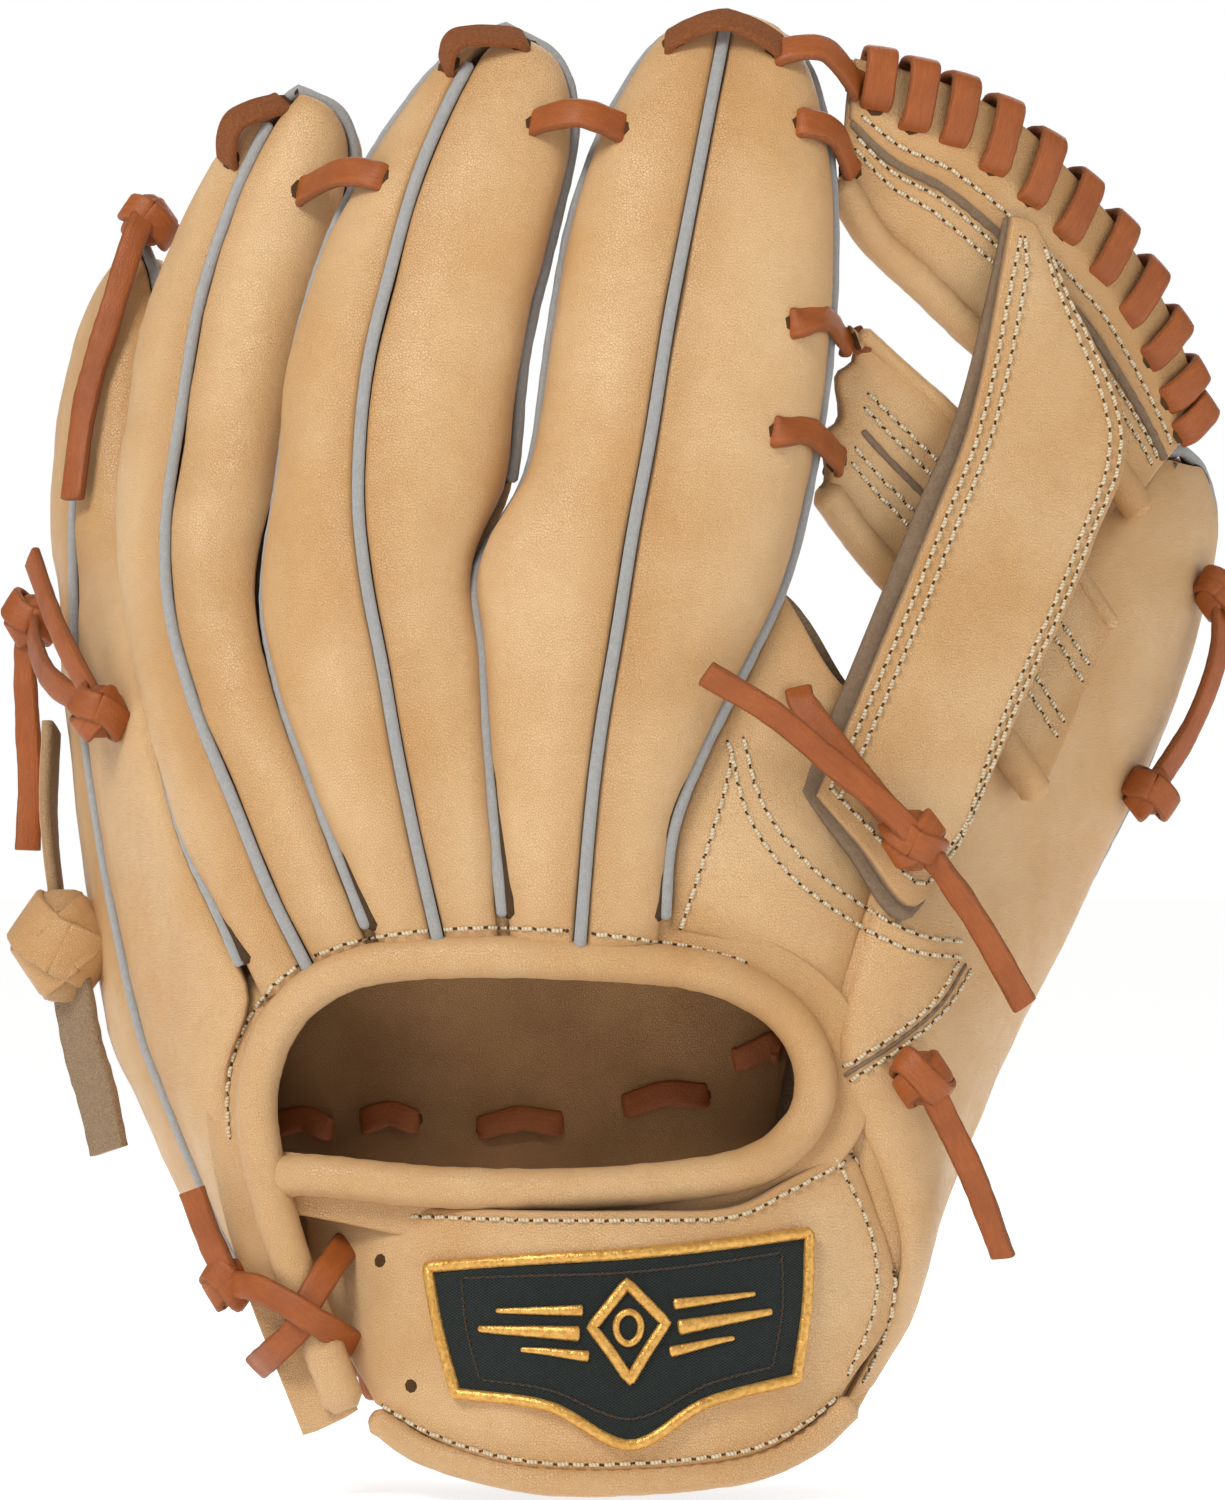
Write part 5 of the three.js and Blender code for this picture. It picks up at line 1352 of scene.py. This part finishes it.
sew_seen([tuple(q) for q in seen_ring[34:112:6]], back_pieces + [GUSSET, FLANGE], "hand")
for x, z in ((-30.2, -38.2), (-24.2, -62.6)):
    place, up = cast([(x, z), (x + 0.4, z)], [STRAP], 2)
    punch(place[0], up[0], "hand", EYELET)

root = [GUSSET, BACKS["thumb"], STRAP]
sew_seen([(38.6, 61.4), (36.5, 51.7), (32.2, 38), (28.3, 26.3)], root, "bend")
for row in ([(37.6, 63.4), (41.5, 48.8), (49.7, 37.1), (61.4, 28.3), (73.1, 22.4), (83.3, 20.9)],
            [(40.5, 64), (44.4, 50.8), (52.4, 40), (63.6, 31.2), (74.5, 25.5), (83.5, 24)]):
    sew_seen(row, root, "bend")
ROOT_SEAM = [(83.9, 19.5), (79, 11.7), (71.2, 4.9), (60.5, -2)]
STRAP_SEAM = [(54.6, -11.7), (60.5, -18.5), (66.3, -30.2), (68.3, -40), (67.3, -49.7), (62.4, -61.4)]
for seam, gap in ((ROOT_SEAM, 1.4), (STRAP_SEAM, 1.7)):
    for side in (-gap, gap):
        sew_seen(seam, root, "bend", side)
line, up = cast(ROOT_SEAM, root, 60)
swept("thumb_root_seam_edge", line, circle(0.45, 8), up, RAW_EDGE, THUMB_BEND, "welt_felt")

# ---- patch emblem: an infield diamond between tapered bars ------------------------------------
def on_label(u, v, lift):
    u, v = np.asarray(u, float), np.asarray(v, float)
    n = normals(label, u, v)
    return rest_on(label(u, v), n, PATCH_CLOTH, lift)


corners = [(0.5, 0.3), (0.595, 0.56), (0.5, 0.82), (0.405, 0.56), (0.5, 0.3)]
u, v = (np.concatenate([np.linspace(a[k], b[k], 12)[:-1] for a, b in zip(corners, corners[1:])])
        for k in (0, 1))
diamond = on_label(u, v, 0.3)
emblem = [(np.concatenate([diamond, diamond[:2]]), circle(1.1, 8, 0.7), 1.0)]
BARS = [(0.12, 0.37, 0.5, 0.52, 1.5), (0.17, 0.38, 0.64, 0.66, 1.1), (0.22, 0.39, 0.38, 0.4, 1.1)]
mirrored = [(1 - u0, 1 - u1, *rest) for u0, u1, *rest in BARS]
for u0, u1, v0, v1, size in BARS + mirrored:
    line = on_label(np.linspace(u0, u1, 24), np.linspace(v0, v1, 24), 0.2)
    emblem.append((line, circle(1.0, 8, 0.6), size * (0.45 + 0.55 * np.linspace(0, 1, 24))))
a = np.linspace(0, 2 * np.pi, 30)
emblem.append((on_label(0.5 + 0.032 * np.cos(a), 0.56 + 0.085 * np.sin(a), 0.2), circle(0.7, 8, 0.8), 1.0))
verts, faces, extra = merged([(*sweep_points(line, section, OUT, size)[:2], {})
                              for line, section, size in emblem])
build("label_emblem_gold", verts, faces, GOLD, "hand", "label_gold")
fine = dict(pitch=1.5, length=1.1, radius=0.22, rise=0.2)
for row_v in (0.125, 0.885):
    sew_on(label, np.linspace(0.09, 0.91, 160), row_v, "patch", PATCH_CLOTH, **fine)
for row_u in (0.085, 0.915):
    sew_on(label, row_u, np.linspace(0.13, 0.88, 60), "patch", PATCH_CLOTH, **fine)

KEYS = {"hand": "hand", WEB: WEB, "bend": THUMB_BEND, "patch": "hand"}
for group, store, plain_look, slot in (
        ("thread", THREADS, THREAD, "label_weave"), ("holes", HOLES, HOLE, "lining_leather")):
    for key, parts in store.items():
        verts, faces, extra = merged(parts)
        look = PATCH_THREAD if (group, key) == ("thread", "patch") else plain_look
        build(f"{group}_{key}", verts, faces, look, KEYS[key], slot, **extra)

# ---- stage --------------------------------------------------------------------------------
FLOOR_REACH, FLOOR_GAP = 6.0, 0.5 * MM
z = cad_box[0][2] - FLOOR_GAP
stage_mesh = bpy.data.meshes.new("floor")
corners = [(x * FLOOR_REACH, y * FLOOR_REACH, z) for x, y in ((-1, -1), (1, -1), (1, 1), (-1, 1))]
stage_mesh.from_pydata(corners, [], [(0, 1, 2, 3)])
floor = bpy.data.objects.new("floor", stage_mesh)
bpy.context.scene.collection.objects.link(floor)
paper = Look("paper floor", Roughness=0.9)
paper.at = paper.node("ShaderNodeTexCoord").outputs["Object"]
speck = paper.noise(300, 3)
paper.done(paper.mix(speck, (0.5, 0.5, 0.5), (0.46, 0.46, 0.46)), 0.9)
paper.surface.inputs["Emission Color"].default_value = (1, 1, 1, 1)
paper.surface.inputs["Emission Strength"].default_value = 0.8
stage_mesh.materials.append(paper.material)
floor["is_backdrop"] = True

world = bpy.data.worlds.new("room")
bpy.context.scene.world = world
world.use_nodes = True
air = world.node_tree
seen, backdrop, sky = (air.nodes.new("ShaderNode" + kind) for kind in ("LightPath", "MixShader", "Background"))
sky.inputs["Color"].default_value, sky.inputs["Strength"].default_value = (1, 1, 1, 1), 1.0
air.nodes["Background"].inputs["Color"].default_value = (1, 0.985, 0.965, 1)
air.nodes["Background"].inputs["Strength"].default_value = 0.36
air.links.new(seen.outputs["Is Camera Ray"], backdrop.inputs[0])
air.links.new(air.nodes["Background"].outputs[0], backdrop.inputs[1])
air.links.new(sky.outputs[0], backdrop.inputs[2])
air.links.new(backdrop.outputs[0], air.nodes["World Output"].inputs["Surface"])


LAMP_COLOUR, LAMPS_AIM = (1, 0.985, 0.96), Vector((0.02, 0, 0.06))


def lamp(name, place, size, power):
    data = bpy.data.lights.new(name, "AREA")
    data.size, data.energy, data.color = size, power, LAMP_COLOUR
    light = bpy.data.objects.new(name, data)
    bpy.context.scene.collection.objects.link(light)
    light.location = place
    light.rotation_euler = (LAMPS_AIM - Vector(place)).to_track_quat("-Z", "Y").to_euler()


lamp("key", (-0.6, -0.9, 0.95), 0.42, 11.5)
lamp("fill", (0.95, -0.6, 0.35), 0.8, 1.8)
lamp("rim", (0.2, 0.8, 0.7), 0.8, 4)
bpy.context.scene.view_settings.view_transform = "Standard"

visual_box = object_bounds()
plain = lambda box: [[float(x) for x in corner] for corner in box]
{"cad": plain(cad_box), "visual": plain(visual_box)}
